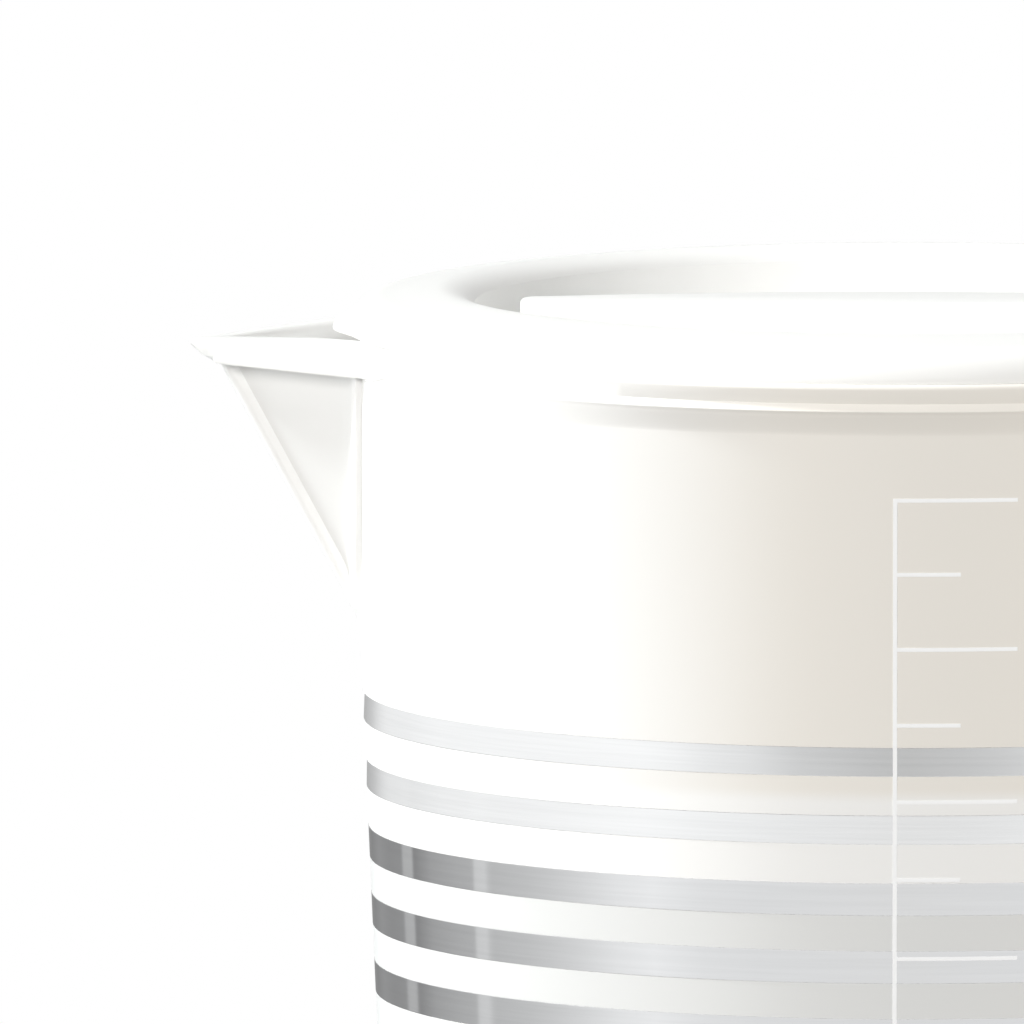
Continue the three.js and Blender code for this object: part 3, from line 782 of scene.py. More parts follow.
@dataclass(frozen=True)
class Hoops:
    """Sixteen thin steel hoops, made by one node tree with named sizes."""

    wall: Wall = Wall()
    count: int = 16
    start_below_rim: float = 32.6
    pitch: float = 6.1
    tall: float = 2.9
    narrow_count: int = 2
    narrow_tall: float = 2.6
    thickness: float = 0.3
    proud: float = 0.03
    seat_gap: float = 0.002
    edge: float = 0.04
    upright: tuple[float, ...] = (-0.035, -0.012)
    segments: int = 240

    def span(self, place: int) -> Pair:
        """Return the bottom and top heights of a hoop counted from the top."""
        top = self.wall.height - self.start_below_rim - place * self.pitch
        tall = self.narrow_tall if place < self.narrow_count else self.tall
        return top - tall, top

    def lean(self, place: int) -> float:
        """Return how much a hoop widens with each millimetre of height."""
        return self.upright[place] if place < len(self.upright) else self.wall.taper

    def face(self, place: int, height: float) -> float:
        """Return the outer radius of a hoop at a height, set by its lower edge."""
        bottom, _ = self.span(place)
        return self.wall.outer(bottom) + self.proud + self.lean(place) * (height - bottom)

    def seats(self) -> list[Pair]:
        """Return the (radius, height) points of all hoop seats in the wall, from the bottom up."""
        depth = self.thickness + self.seat_gap
        points = []
        for place in reversed(range(self.count)):
            bottom, top = self.span(place)
            low = bottom - self.seat_gap
            high = top + self.seat_gap
            seat = [(self.face(place, level) - depth, level) for level in (low, high)]
            points += [(self.wall.outer(low), low), *seat, (self.wall.outer(high), high)]
        return points

    def tree(self) -> tuple[bpy.types.NodeTree, dict[str, str]]:
        """Build the hoop's node tree.

        Returns:
            The tree, and its inputs' identifiers by name.
        """
        wiring, names = new_tree("steel_hoop", ("Radius", "Height", "Thickness", "Edge", "Taper", "Middle"))
        given = wiring.add("NodeGroupInput").outputs
        sizes = {"Resolution": self.segments, "Radius": given["Radius"]}
        circle = wiring.add("GeometryNodeCurvePrimitiveCircle", sizes, mode="RADIUS")
        sizes = {"Width": given["Thickness"], "Height": given["Height"]}
        section = wiring.add("GeometryNodeCurvePrimitiveQuadrilateral", sizes, mode="RECTANGLE")
        sizes = {"Curve": section.outputs[0], "Count": 2, "Radius": given["Edge"]}
        rounded = wiring.add("GeometryNodeFilletCurve", sizes, mode="POLY")
        curves = {"Curve": circle.outputs[0], "Profile Curve": rounded.outputs[0]}
        swept = wiring.add("GeometryNodeCurveToMesh", curves)
        place = wiring.add("GeometryNodeInputPosition").outputs[0]
        parts = wiring.add("ShaderNodeSeparateXYZ", {0: place})
        flat = wiring.add("ShaderNodeCombineXYZ", {0: parts.outputs[0], 1: parts.outputs[1]})
        outward = wiring.vector_maths("NORMALIZE", flat.outputs[0])
        grow = wiring.maths("MULTIPLY", parts.outputs[2], given["Taper"])
        lean = wiring.add("ShaderNodeVectorMath", {0: outward, "Scale": grow}, operation="SCALE")
        lift = wiring.add("ShaderNodeCombineXYZ", {2: given["Middle"]})
        offset = wiring.vector_maths("ADD", lean.outputs[0], lift.outputs[0])
        shifts = {"Geometry": swept.outputs[0], "Offset": offset}
        moved = wiring.add("GeometryNodeSetPosition", shifts)
        wiring.set_material(moved.outputs[0], given["Finish"])
        return wiring.tree, names

    def build(self, finishes: Finishes) -> None:
        """Build every hoop from the tree and settle it on the jug."""
        tree, names = self.tree()
        for place in range(self.count):
            bottom, top = self.span(place)
            middle = (bottom + top) / 2.0
            finish = finishes.satin if place < self.narrow_count else finishes.polished
            values = {
                "Radius": (self.face(place, middle) - self.thickness / 2.0) * MM,
                "Height": (top - bottom) * MM,
                "Thickness": self.thickness * MM,
                "Edge": self.edge * MM,
                "Taper": self.lean(place),
                "Middle": middle * MM,
                "Finish": finish,
            }
            node = f"hoop_{place + 1:02d}"
            hoop = evaluate_tree("steel_" + node, tree, names, values)
            settle(hoop, finish, "jug", "polished_steel", node)


# Vessel


@dataclass(frozen=True)
class Spout:
    """The V spout: a round bead down its keel, a flange round its lip and a pad at its root."""

    reach: float = 63.6
    lean: float = 0.54
    half_angle: float = radians(38.4)
    bead: float = 0.95
    panel_inset: float = 0.3
    inner_reach: float = 60.72
    inner_round: float = 1.0
    flange_tip: float = 64.7
    flange_round: float = 0.6
    flange_height: float = 3.0
    flange_growth: float = 0.38
    tip_cut_depth: float = 3.2
    tip_cut_reach: float = 61.9
    tip_cut_slope: float = 1.86
    lip_drop: float = 0.9
    fillet: float = 0.7
    pad_half_width: float = 11.7
    pad_narrowing: float = 0.225
    pad_lift: float = 0.55
    pad_bottom: float = 25.4
    pad_rise: float = 0.35
    pad_point: float = 3.0
    pad_corner: float = 1.2
    pad_edge: float = 0.05
    pad_softening: float = 0.9
    pad_soft_span: Pair = (17.0, 24.0)
    pad_swelling: float = 0.15
    pad_swell_span: Pair = (16.0, 23.0)
    low_end: float = 34.0
    cut_blend: float = 0.4
    flange_blend: float = 0.8
    inner_blend: float = 0.5

    def nose(self, angle: float, tip: float, bead: float, offset: float) -> float:
        """Return the radius of a V whose nose is a round bead.

        Args:
            angle: Angle from the spout's middle, in radians.
            tip: How far the nose reaches from the axis.
            bead: Radius of the bead at the nose.
            offset: Distance from the bead's middle to the V's sides.

        Returns:
            The radius, or 0 well to the side of the spout.
        """
        if angle > SPOUT_SIDE:
            return 0.0
        centre = tip - bead
        if angle < self.crease(tip, bead, offset):
            reach = max(bead * bead - (centre * sin(angle)) ** 2, 0.0)
            return centre * cos(angle) + sqrt(reach)
        return (centre * sin(self.half_angle) + offset) / sin(self.half_angle + angle)

    def crease(self, tip: float, bead: float, offset: float) -> float:
        """Return the angle at which the bead meets the V's sides."""
        if offset < bead:
            return asin(bead / (tip - bead))
        turn = radians(90.0) - self.half_angle
        return atan2(bead * sin(turn), tip - bead + bead * cos(turn))

    def panel_offset(self) -> float:
        """Return the distance from the keel bead's middle to the spout's sides."""
        return (self.bead - self.panel_inset) * sin(self.half_angle)


@dataclass(frozen=True)
class Vessel:
    """The moulded jug body: vessel, rim, spout and upper handle boss."""

    hoops: Hoops = Hoops()
    wall: Wall = Wall()
    spout: Spout = Spout()
    collar_bottom: float = 32.2
    collar_inside: float = 31.0
    rim_level: float = 3.2
    shoulder_edge: float = 0.3
    floor_bottom: float = 4.9
    floor_thickness: float = 2.2
    floor_fillet: float = 5.0
    base_round: float = 2.5
    bead_out: float = 0.5
    bead_height: float = 2.65
    rim_edge: float = 0.25
    rim_edge_start: float = 45.0
    rim_round: float = 0.5
    inner_edge: float = 0.45
    spout_inner_edge: float = 1.8
    ridge_height: float = 0.9
    face_inset: float = 0.45
    under_slope: float = 1.9
    under_curve: float = 1.25
    flange_fillet: float = 0.15
    bead_span: Pair = (radians(38.0), radians(70.0))
    flange_span: Pair = (radians(26.0), radians(19.0))
    ledge_span: Pair = (radians(22.0), radians(15.5))
    slope_span: Pair = (radians(24.0), radians(34.0))
    inner_span: Pair = (radians(16.0), radians(13.5))
    growth_angle: float = radians(12.0)
    inner_growth_angle: float = radians(5.0)
    cut_angle: float = radians(20.0)
    least_rounding: float = 0.1
    boss_below_rim: float = 18.0
    boss_out: float = 6.0
    screw_inward: float = 4.0

    def outer_radius(self, angle: float, depth: float) -> float:
        """Return the outside radius below the rim's flange.

        Args:
            angle: Angle from the spout's middle, in radians.
            depth: Depth below the rim.

        Returns:
            The radius of wall, pad, spout side or keel bead, whichever stands out most.
        """
        spout = self.spout
        plain = self.wall.outer(self.wall.height - depth)
        if angle > SPOUT_SIDE or depth > spout.low_end:
            return plain
        soft = spout.pad_edge + spout.pad_softening * ease(*spout.pad_soft_span, depth)
        lift = spout.pad_lift + spout.pad_swelling * ease(*spout.pad_swell_span, depth)
        sideways = plain * sin(angle)
        side = sideways - (spout.pad_half_width - spout.pad_narrowing * depth)
        below = (depth - spout.pad_bottom) + spout.pad_rise * max(sideways - spout.pad_point, 0.0)
        edge = smooth_max(side, below, spout.pad_corner)
        plain += lift * ease(soft / 2.0, -soft / 2.0, edge)
        tip = spout.reach - spout.lean * depth
        nose = spout.nose(angle, tip, spout.bead, spout.panel_offset())
        return smooth_max(plain, nose, spout.fillet)

    def bead_share(self, angle: float) -> float:
        """Return how far the rim's bead stands out; it runs out into the wall beside the spout."""
        return ease(*self.bead_span, angle)

    def rounding_share(self, angle: float) -> float:
        """Return how much of the rim's rounding there is at an angle: all on bead and flange."""
        return max(self.bead_share(angle), ease(*self.flange_span, angle), self.least_rounding)

    def flange_radius(self, angle: float, depth: float) -> float:
        """Return the outside radius of the rim bead and the spout's flange."""
        spout = self.spout
        plain = self.wall.outer(self.wall.height - depth)
        rim = plain + (self.wall.rim_radius + self.bead_out - plain) * self.bead_share(angle)
        nose = spout.nose(angle, spout.flange_tip, spout.flange_round, spout.flange_round)
        radius = smooth_max(rim, nose, spout.flange_blend)
        if angle < self.cut_angle:
            cut = spout.tip_cut_reach + spout.tip_cut_slope * (spout.tip_cut_depth - depth)
            radius = smooth_min(radius, cut / cos(angle), spout.cut_blend)
        return radius

    def inner_radius(self, angle: float, depth: float) -> float:
        """Return the inside radius of cavity and spout channel."""
        spout = self.spout
        cavity = self.wall.inner(self.wall.height - depth)
        tip = spout.inner_reach - spout.lean * depth
        nose = spout.nose(angle, tip, spout.inner_round, spout.inner_round)
        return smooth_max(cavity, nose, spout.inner_blend)

    def junction(self, nose: Measure, plain: float) -> float:
        """Return the angle at which a nose sinks into a round wall."""
        if nose(0.0) <= plain:
            return 0.0
        low = 0.0
        high = SPOUT_SIDE
        for _ in range(30):
            middle = (low + high) / 2.0
            if nose(middle) > plain:
                low = middle
            else:
                high = middle
        return low

    def angles(
        self, tip: float, bead: float, offset: float, plain: float, pad: float | None = None
    ) -> list[float]:
        """Return the angles of one row, crowded round the spout's edges.

        Args:
            tip: How far the spout reaches in this row.
            bead: Radius of its nose.
            offset: Distance from the nose's middle to its sides.
            plain: Radius of the round wall.
            pad: Half width of the pad at the spout's root, if there is one.

        Returns:
            Angles from the spout's middle round to the handle's side.
        """
        joint = self.junction(lambda angle: self.spout.nose(angle, tip, bead, offset), plain)
        third = joint if pad is None else asin(pad / plain)
        first = max(self.spout.crease(tip, bead, offset), radians(0.45))
        second = max(joint, first + radians(0.7))
        third = max(third, second + radians(0.9))
        crease = radians(0.015)
        step = radians(0.25)
        stops = [
            (0.0, 9),
            (first - crease, 1),
            (first + crease, 10),
            (second, 8),
            (third - step, 3),
            (third - 3.0 * crease, 1),
            (third + 3.0 * crease, 6),
            (third + 2.0 * step, 14),
            (radians(30.0), 92),
            (pi, 0),
        ]
        found = [0.0]
        for (low, count), (high, _) in zip(stops, stops[1:]):
            found += spaced(low, high, count)[1:]
        return found

    def outer_angles(self, depth: float) -> list[float]:
        """Return the angles of an outside row at a depth."""
        spout = self.spout
        pad = spout.pad_half_width - spout.pad_narrowing * min(depth, 25.0)
        plain = self.wall.outer(self.wall.height - depth)
        return self.angles(spout.reach - spout.lean * depth, spout.bead, spout.panel_offset(), plain, pad)

    def flange_angles(self) -> list[float]:
        """Return the angles of the rows in the flange."""
        bead = self.spout.flange_round
        return self.angles(self.spout.flange_tip, bead, bead, self.wall.rim_radius + self.bead_out)

    def inner_angles(self, depth: float) -> list[float]:
        """Return the angles of an inside row at a depth."""
        tip = self.spout.inner_reach - self.spout.lean * depth
        bead = self.spout.inner_round
        return self.angles(tip, bead, bead, self.wall.inner(self.wall.height - depth))

    def row(self, angles: Sequence[float], radius: Measure, depth: Measure) -> Row:
        """Return one closed row, mirrored about the spout's middle.

        Args:
            angles: Angles of one half.
            radius: Radius at an angle.
            depth: Depth below the rim at an angle.

        Returns:
            The row's points.
        """
        half = [(angle, radius(angle), self.wall.height - depth(angle)) for angle in angles]
        front = [(-r * cos(a), -r * sin(a), z) for a, r, z in half]
        back = [(-r * cos(a), r * sin(a), z) for a, r, z in half[-2:0:-1]]
        return front + back

    def level_row(
        self, angles: Sequence[float], radius: Callable[[float, float], float], depth: float
    ) -> Row:
        """Return a closed row at one depth below the rim, whose radius depends on angle and depth."""
        return self.row(angles, lambda angle: radius(angle, depth), lambda _: depth)

    def rings(self, angles: Sequence[float], places: Outline) -> list[Row]:
        """Return plain round rows at places given as (radius, height)."""
        top = self.wall.height
        return [self.level_row(angles, lambda *_, r=radius: r, top - height) for radius, height in places]

    def ledge(self, angle: float) -> float:
        """Return how far the rim's bead or flange hangs down at an angle."""
        growth = self.spout.flange_growth * min(angle / self.growth_angle, 1.0)
        flange = self.spout.flange_height + growth
        return self.bead_height + (flange - self.bead_height) * ease(*self.ledge_span, angle)

    def under(self, angle: float, share: float) -> Pair:
        """Return a place on the underside: a soft slope under the bead, a tight fillet under the flange.

        Args:
            angle: Angle from the spout's middle.
            share: Place from the wall, 0, to the ledge's edge, 1.

        Returns:
            The radius and the depth below the rim.
        """
        bead = ease(*self.slope_span, angle)
        slope = self.flange_fillet + (self.under_slope - self.flange_fillet) * bead
        depth = self.ledge(angle) + slope * (1.0 - share)
        wall = self.outer_radius(angle, depth)
        corner = self.rim_edge * (1.0 - sin(radians(self.rim_edge_start)))
        edge = self.flange_radius(angle, depth) - corner * self.rounding_share(angle)
        overhang = max(edge - wall, 0.0) * bead + self.flange_fillet * (1.0 - bead)
        return wall + overhang * share**self.under_curve, depth

    def top_drop(self, radius: float, angle: float) -> float:
        """Return how far the top of the lip lies below the rim."""
        root = self.wall.rim_radius + self.bead_out
        out = (radius * cos(angle) - root) / (self.spout.flange_tip - root)
        return self.spout.lip_drop * min(max(out, 0.0), 1.0)

    def rim_row(self, angles: Sequence[float], inset: float, share: float, face: float = 0.0) -> Row:
        """Return a row of the rim, from its ledge (share 1) to its top (share 0).

        Args:
            angles: Angles of one half.
            inset: How far the row lies inside the rim's outermost face.
            share: Height of the row between top and ledge.
            face: How far the bead has receded here from its ridge to its face.

        Returns:
            The row's points.
        """

        def depth(angle: float) -> float:
            drop = self.top_drop(self.flange_radius(angle, 0.0) - inset, angle)
            return drop + share * (self.ledge(angle) - drop)

        def radius(angle: float) -> float:
            recess = self.face_inset * face * self.bead_share(angle)
            return self.flange_radius(angle, depth(angle)) - inset * self.rounding_share(angle) - recess

        return self.row(angles, radius, depth)

    def rows(self) -> list[Row]:
        """Return all rows of the vessel, from the middle of its bottom to the middle of its floor."""
        wall = self.wall
        shoulder = wall.cup_top + wall.fit_gap
        base = wall.seated(self.floor_bottom)
        corner = (base - self.base_round, self.floor_bottom + self.base_round)
        places = [(base / 2.0, self.floor_bottom)]
        places += arc_points(corner, (self.base_round, self.base_round), -90.0, 0.0, 6)
        edge = self.shoulder_edge
        corner = (wall.outer(shoulder) - edge, shoulder + edge)
        places += [(wall.seated(shoulder), shoulder), (corner[0], shoulder)]
        places += arc_points(corner, (edge, edge), -60.0, 0.0, 3)
        places += self.hoops.seats()
        rows: list[Row] = [[(0.0, 0.0, self.floor_bottom)]]
        rows += self.rings(self.outer_angles(self.collar_bottom), places)
        below_rim = self.bead_height + self.under_slope + 0.1
        for depth in spaced(self.collar_bottom, below_rim, 43):
            rows.append(self.level_row(self.outer_angles(depth), self.outer_radius, depth))
        rows += self.rim_rows()
        rows += self.inside_rows()
        return rows

    def rim_rows(self) -> list[Row]:
        """Return the rows from under the rim's ledge, over its top, to its inner edge."""
        body = self.outer_angles(self.rim_level)
        outside = self.flange_angles()
        rows: list[Row] = []
        for share in (0.0, 0.15, 0.35, 0.6, 0.8, 0.93):
            places = {angle: self.under(angle, share) for angle in body}
            rows.append(self.row(body, lambda a, p=places: p[a][0], lambda a, p=places: p[a][1]))
        tall = self.bead_height
        edge = self.rim_edge
        for rise, inset in arc_points((edge, edge), (-edge, -edge), self.rim_edge_start, 90.0, 3):
            rows.append(self.rim_row(outside, inset, 1.0 - rise / tall))
        for share in (0.35, 0.7, 1.0):
            rise = edge + (self.ridge_height - edge) * share
            rows.append(self.rim_row(outside, 0.0, 1.0 - rise / tall, share))
        top = self.rim_round
        for inset, below in arc_points((top, top), (-top, -top), 0.0, 90.0, 4):
            rows.append(self.rim_row(outside, inset, below / tall))
        for out, below in arc_points((1.0, 1.0), (-1.0, -1.0), 90.0, 0.0, 4):
            rows.append(self.inner_edge_row(out, below))
        return rows

    def inner_edge_row(self, out: float, below: float) -> Row:
        """Return a row of the rim's inner edge.

        Args:
            out: How far the row lies outside the cavity, as a share of the rounding.
            below: How far it lies below the top, as a share of the rounding.

        Returns:
            The row's points.
        """

        def depth(angle: float) -> float:
            return self.top_drop(self.inner_radius(angle, 0.0), angle) + below * self.inner_rounding(angle)

        def radius(angle: float) -> float:
            return self.inner_radius(angle, 0.0) + out * self.inner_rounding(angle)

        return self.row(self.inner_angles(0.0), radius, depth)

    def inner_rounding(self, angle: float) -> float:
        """Return the radius of the rim's inner edge, which is larger in the spout and grows to its root."""
        growth = self.spout_inner_edge - self.inner_edge
        grown = min(angle / self.inner_growth_angle, 1.0)
        return self.inner_edge + growth * ease(*self.inner_span, angle) * grown

    def inside_rows(self) -> list[Row]:
        """Return the rows of the cavity, from under the rim down to the middle of the floor."""
        wall = self.wall
        shoulder = wall.cup_top + wall.fit_gap
        rows: list[Row] = []
        for depth in spaced(1.4, self.collar_inside, 26):
            rows.append(self.level_row(self.inner_angles(depth), self.inner_radius, depth))
        levels = spaced(wall.height - self.collar_inside - 5.0, shoulder + wall.cup_wall, 16)
        places = [(wall.inner(height), height) for height in levels]
        places.append((wall.seated(shoulder) - wall.thickness, shoulder))
        floor_top = self.floor_bottom + self.floor_thickness
        floor_radius = wall.seated(self.floor_bottom) - wall.thickness
        corner = (floor_radius - self.floor_fillet, floor_top + self.floor_fillet)
        places += arc_points(corner, (self.floor_fillet, self.floor_fillet), 0.0, -90.0, 8)
        places.append((floor_radius * 0.4, floor_top))
        rows += self.rings(self.inner_angles(self.collar_inside), places)
        rows.append([(0.0, 0.0, floor_top)])
        return rows

    def boss(self) -> Boss:
        """Return the upper handle boss."""
        height = self.wall.height - self.boss_below_rim
        return Boss(
            height=height,
            face=self.wall.outer(height) + self.boss_out,
            root=self.wall.inner(height) + self.wall.thickness / 2.0,
            hole_height=height - self.screw_inward,
        )

    def build(self, finishes: Finishes) -> None:
        """Build the vessel and settle it on the jug."""
        piece = skinned("jug_vessel", self.rows(), self.boss().rows(self.wall))
        settle(piece, finishes.vessel, "jug", "white_plastic", "jug_body")


# Printed scale


@dataclass(frozen=True)
class Mark:
    """One straight stretch of print: its left end, middle height, length, width and lift."""

    left: float
    middle: float
    length: float
    tall: float
    lift: float


@dataclass(frozen=True)
class Scale:
    """The printed scale: an upright line, long and short ticks by volume, and plain numbers."""

    wall: Wall = Wall()
    hoops: Hoops = Hoops()
    line_left: float = -1.80
    line_width: float = 0.38
    long_end: float = 9.29
    short_end: float = 4.23
    tick_tall: float = 0.34
    print_thickness: float = 0.04
    lift_over_hoop: float = 0.03
    top_height: float = 167.8
    extra_radius: float = 0.65
    top_volume: int = 1000
    step: int = 50
    lowest_volume: int = 100
    number_left: float = 10.4
    number_size: float = 4.26
    cut_margin: float = 0.02

    def heights(self) -> dict[int, float]:
        """Return each tick's height by its volume in millilitres.

        Returns:
            Heights from the top tick down, spaced by the cavity's own area.
        """
        found = {self.top_volume: self.top_height}
        height = self.top_height
        for volume in range(self.top_volume - self.step, self.lowest_volume - 1, -self.step):
            radius = self.wall.inner(height) + self.extra_radius
            if height < self.wall.cup_top:
                radius = self.wall.seated(height) - self.wall.thickness
            height -= self.step * 1000.0 / (pi * radius * radius)
            found[volume] = height
        return found

    def edges(self) -> list[Pair]:
        """Return the bottom and top of every hoop, from the top down."""
        return [self.hoops.span(place) for place in range(self.hoops.count)]

    def pieces_of(self, low: float, high: float) -> list[Point]:
        """Split a span of heights where it crosses hoops.

        Args:
            low: Lower end.
            high: Upper end.

        Returns:
            Stretches as (low, high, lift), each on one hoop or on bare wall.
        """
        levels = {low, high}
        for bottom, top in self.edges():
            levels.update(level for level in spaced(bottom, top, 4) if low < level < high)
        cuts = sorted(levels)
        stretches = []
        for lower, upper in zip(cuts, cuts[1:]):
            middle = (lower + upper) / 2.0
            lift = 0.0
            for place, (bottom, top) in enumerate(self.edges()):
                if bottom < middle < top:
                    lift = self.hoops.face(place, middle) - self.wall.outer(middle) + self.lift_over_hoop
            stretches.append((lower, upper, lift))
        return stretches

    def marks(self) -> list[Mark]:
        """Return all straight stretches of the print."""
        heights = self.heights()
        half = self.tick_tall / 2.0
        right = self.line_left + self.line_width
        bars = [(self.line_left, right, min(heights.values()) - half, self.top_height + half)]
        for volume, height in heights.items():
            end = self.long_end if volume % (2 * self.step) == 0 else self.short_end
            bars.append((right, end, height - half, height + half))
        return [
            Mark(left, (low + high) / 2.0, end - left, high - low, lift)
            for left, end, bottom, top in bars
            for low, high, lift in self.pieces_of(bottom, top)
        ]

    def seed(self) -> bpy.types.Mesh:
        """Return a mesh with one point for each mark and the mark's sizes as attributes."""
        marks = self.marks()
        mesh = bpy.data.meshes.new("scale_seed")
        mesh.from_pydata([((m.left + m.length / 2.0) * MM, 0.0, m.middle * MM) for m in marks], [], [])
        mesh.attributes.new("mark_size", "FLOAT_VECTOR", "POINT")
        mesh.attributes.new("mark_lift", "FLOAT", "POINT")
        size = mesh.attributes["mark_size"].data
        lift = mesh.attributes["mark_lift"].data
        for index, mark in enumerate(marks):
            size[index].vector = (mark.length * MM, 2.0 * self.print_thickness * MM, mark.tall * MM)
            lift[index].value = mark.lift * MM
        return mesh

    def tree(self) -> tuple[bpy.types.NodeTree, dict[str, str]]:
        """Build the tree that prints one bent strip on every point.

        Returns:
            The tree, and its inputs' identifiers by name.
        """
        wiring, names = new_tree("scale_marks", ("Rim Radius", "Rim Height", "Taper"))
        given = wiring.add("NodeGroupInput").outputs
        sizes = {"Size": (1.0, 1.0, 1.0), "Vertices X": 8, "Vertices Y": 2, "Vertices Z": 2}
        strip = wiring.add("GeometryNodeMeshCube", sizes)
        reader = "GeometryNodeInputNamedAttribute"
        size = wiring.add(reader, {"Name": "mark_size"}, data_type="FLOAT_VECTOR")
        lift = wiring.add(reader, {"Name": "mark_lift"}, data_type="FLOAT")
        strips = {"Points": given["Geometry"], "Instance": strip.outputs[0], "Scale": size.outputs[0]}
        placed = wiring.add("GeometryNodeInstanceOnPoints", strips)
        real = wiring.add("GeometryNodeRealizeInstances", {"Geometry": placed.outputs[0]})
        place = wiring.add("GeometryNodeInputPosition").outputs[0]
        parts = wiring.add("ShaderNodeSeparateXYZ", {0: place}).outputs
        below = wiring.maths("SUBTRACT", given["Rim Height"], parts[2])
        narrowed = wiring.maths("MULTIPLY", below, given["Taper"])
        wall = wiring.maths("SUBTRACT", given["Rim Radius"], narrowed)
        radius = wiring.maths("SUBTRACT", wiring.maths("ADD", wall, lift.outputs[0]), parts[1])
        across = wiring.maths("MULTIPLY", parts[0], parts[0])
        squared = wiring.maths("SUBTRACT", wiring.maths("MULTIPLY", radius, radius), across)
        forward = wiring.maths("MULTIPLY", wiring.maths("SQRT", squared), -1.0)
        bent = wiring.add("ShaderNodeCombineXYZ", {0: parts[0], 1: forward, 2: parts[2]})
        moves = {"Geometry": real.outputs[0], "Position": bent.outputs[0]}
        moved = wiring.add("GeometryNodeSetPosition", moves)
        wiring.set_material(moved.outputs[0], given["Finish"])
        return wiring.tree, names

    def add_number(self, form: Form, words: str, height: float) -> None:
        """Add one plain number to a form, still flat, with its middle at a height."""
        curve = bpy.data.curves.new("scale_number", "FONT")
        curve.body = words
        curve.size = self.number_size
        curve.align_x = "LEFT"
        curve.align_y = "CENTER"
        curve.extrude = self.print_thickness
        curve.resolution_u = 6
        letters = add_object("scale_number", curve)
        graph = bpy.context.evaluated_depsgraph_get()
        mesh = bpy.data.meshes.new_from_object(letters.evaluated_get(graph))
        mesh.transform(Matrix.Translation((self.number_left, height, 0.0)))
        form.from_mesh(mesh)
        bpy.data.objects.remove(letters)
        bpy.data.curves.remove(curve)
        bpy.data.meshes.remove(mesh)

    def bend(self, form: Form) -> None:
        """Bend a flat form round the wall and over the hoops, cut where it crosses their edges."""
        margin = self.cut_margin
        for level in [edge + side for span in self.edges() for edge in span for side in (-margin, margin)]:
            parts = [*form.verts, *form.edges, *form.faces]
            cut = {"plane_co": (0.0, level, 0.0), "plane_no": (0.0, 1.0, 0.0), "dist": WELD / 10.0}
            bmesh.ops.bisect_plane(form, geom=parts, **cut)
        for vertex in form.verts:
            across, up, out = vertex.co
            radius = self.wall.outer(up) + out
            for place, (bottom, top) in enumerate(self.edges()):
                if bottom - margin / 2.0 < up < top + margin / 2.0:
                    radius = self.hoops.face(place, up) + self.lift_over_hoop + out
            vertex.co = (across, -sqrt(radius * radius - across * across), up)

    def build(self, finishes: Finishes) -> None:
        """Print the scale and settle it on the jug."""
        tree, names = self.tree()
        values = {
            "Rim Radius": self.wall.rim_radius * MM,
            "Rim Height": self.wall.height * MM,
            "Taper": self.wall.taper,
            "Finish": finishes.ink,
        }
        lines = evaluate_tree("scale_lines", tree, names, values, self.seed())
        form = bmesh.new()
        for volume, height in self.heights().items():
            if volume % (2 * self.step) == 0:
                self.add_number(form, str(volume), height)
        self.bend(form)
        for piece in (lines, finish_mesh("scale_numbers", form)):
            settle(piece, finishes.ink, "jug", "white_plastic")


# Base


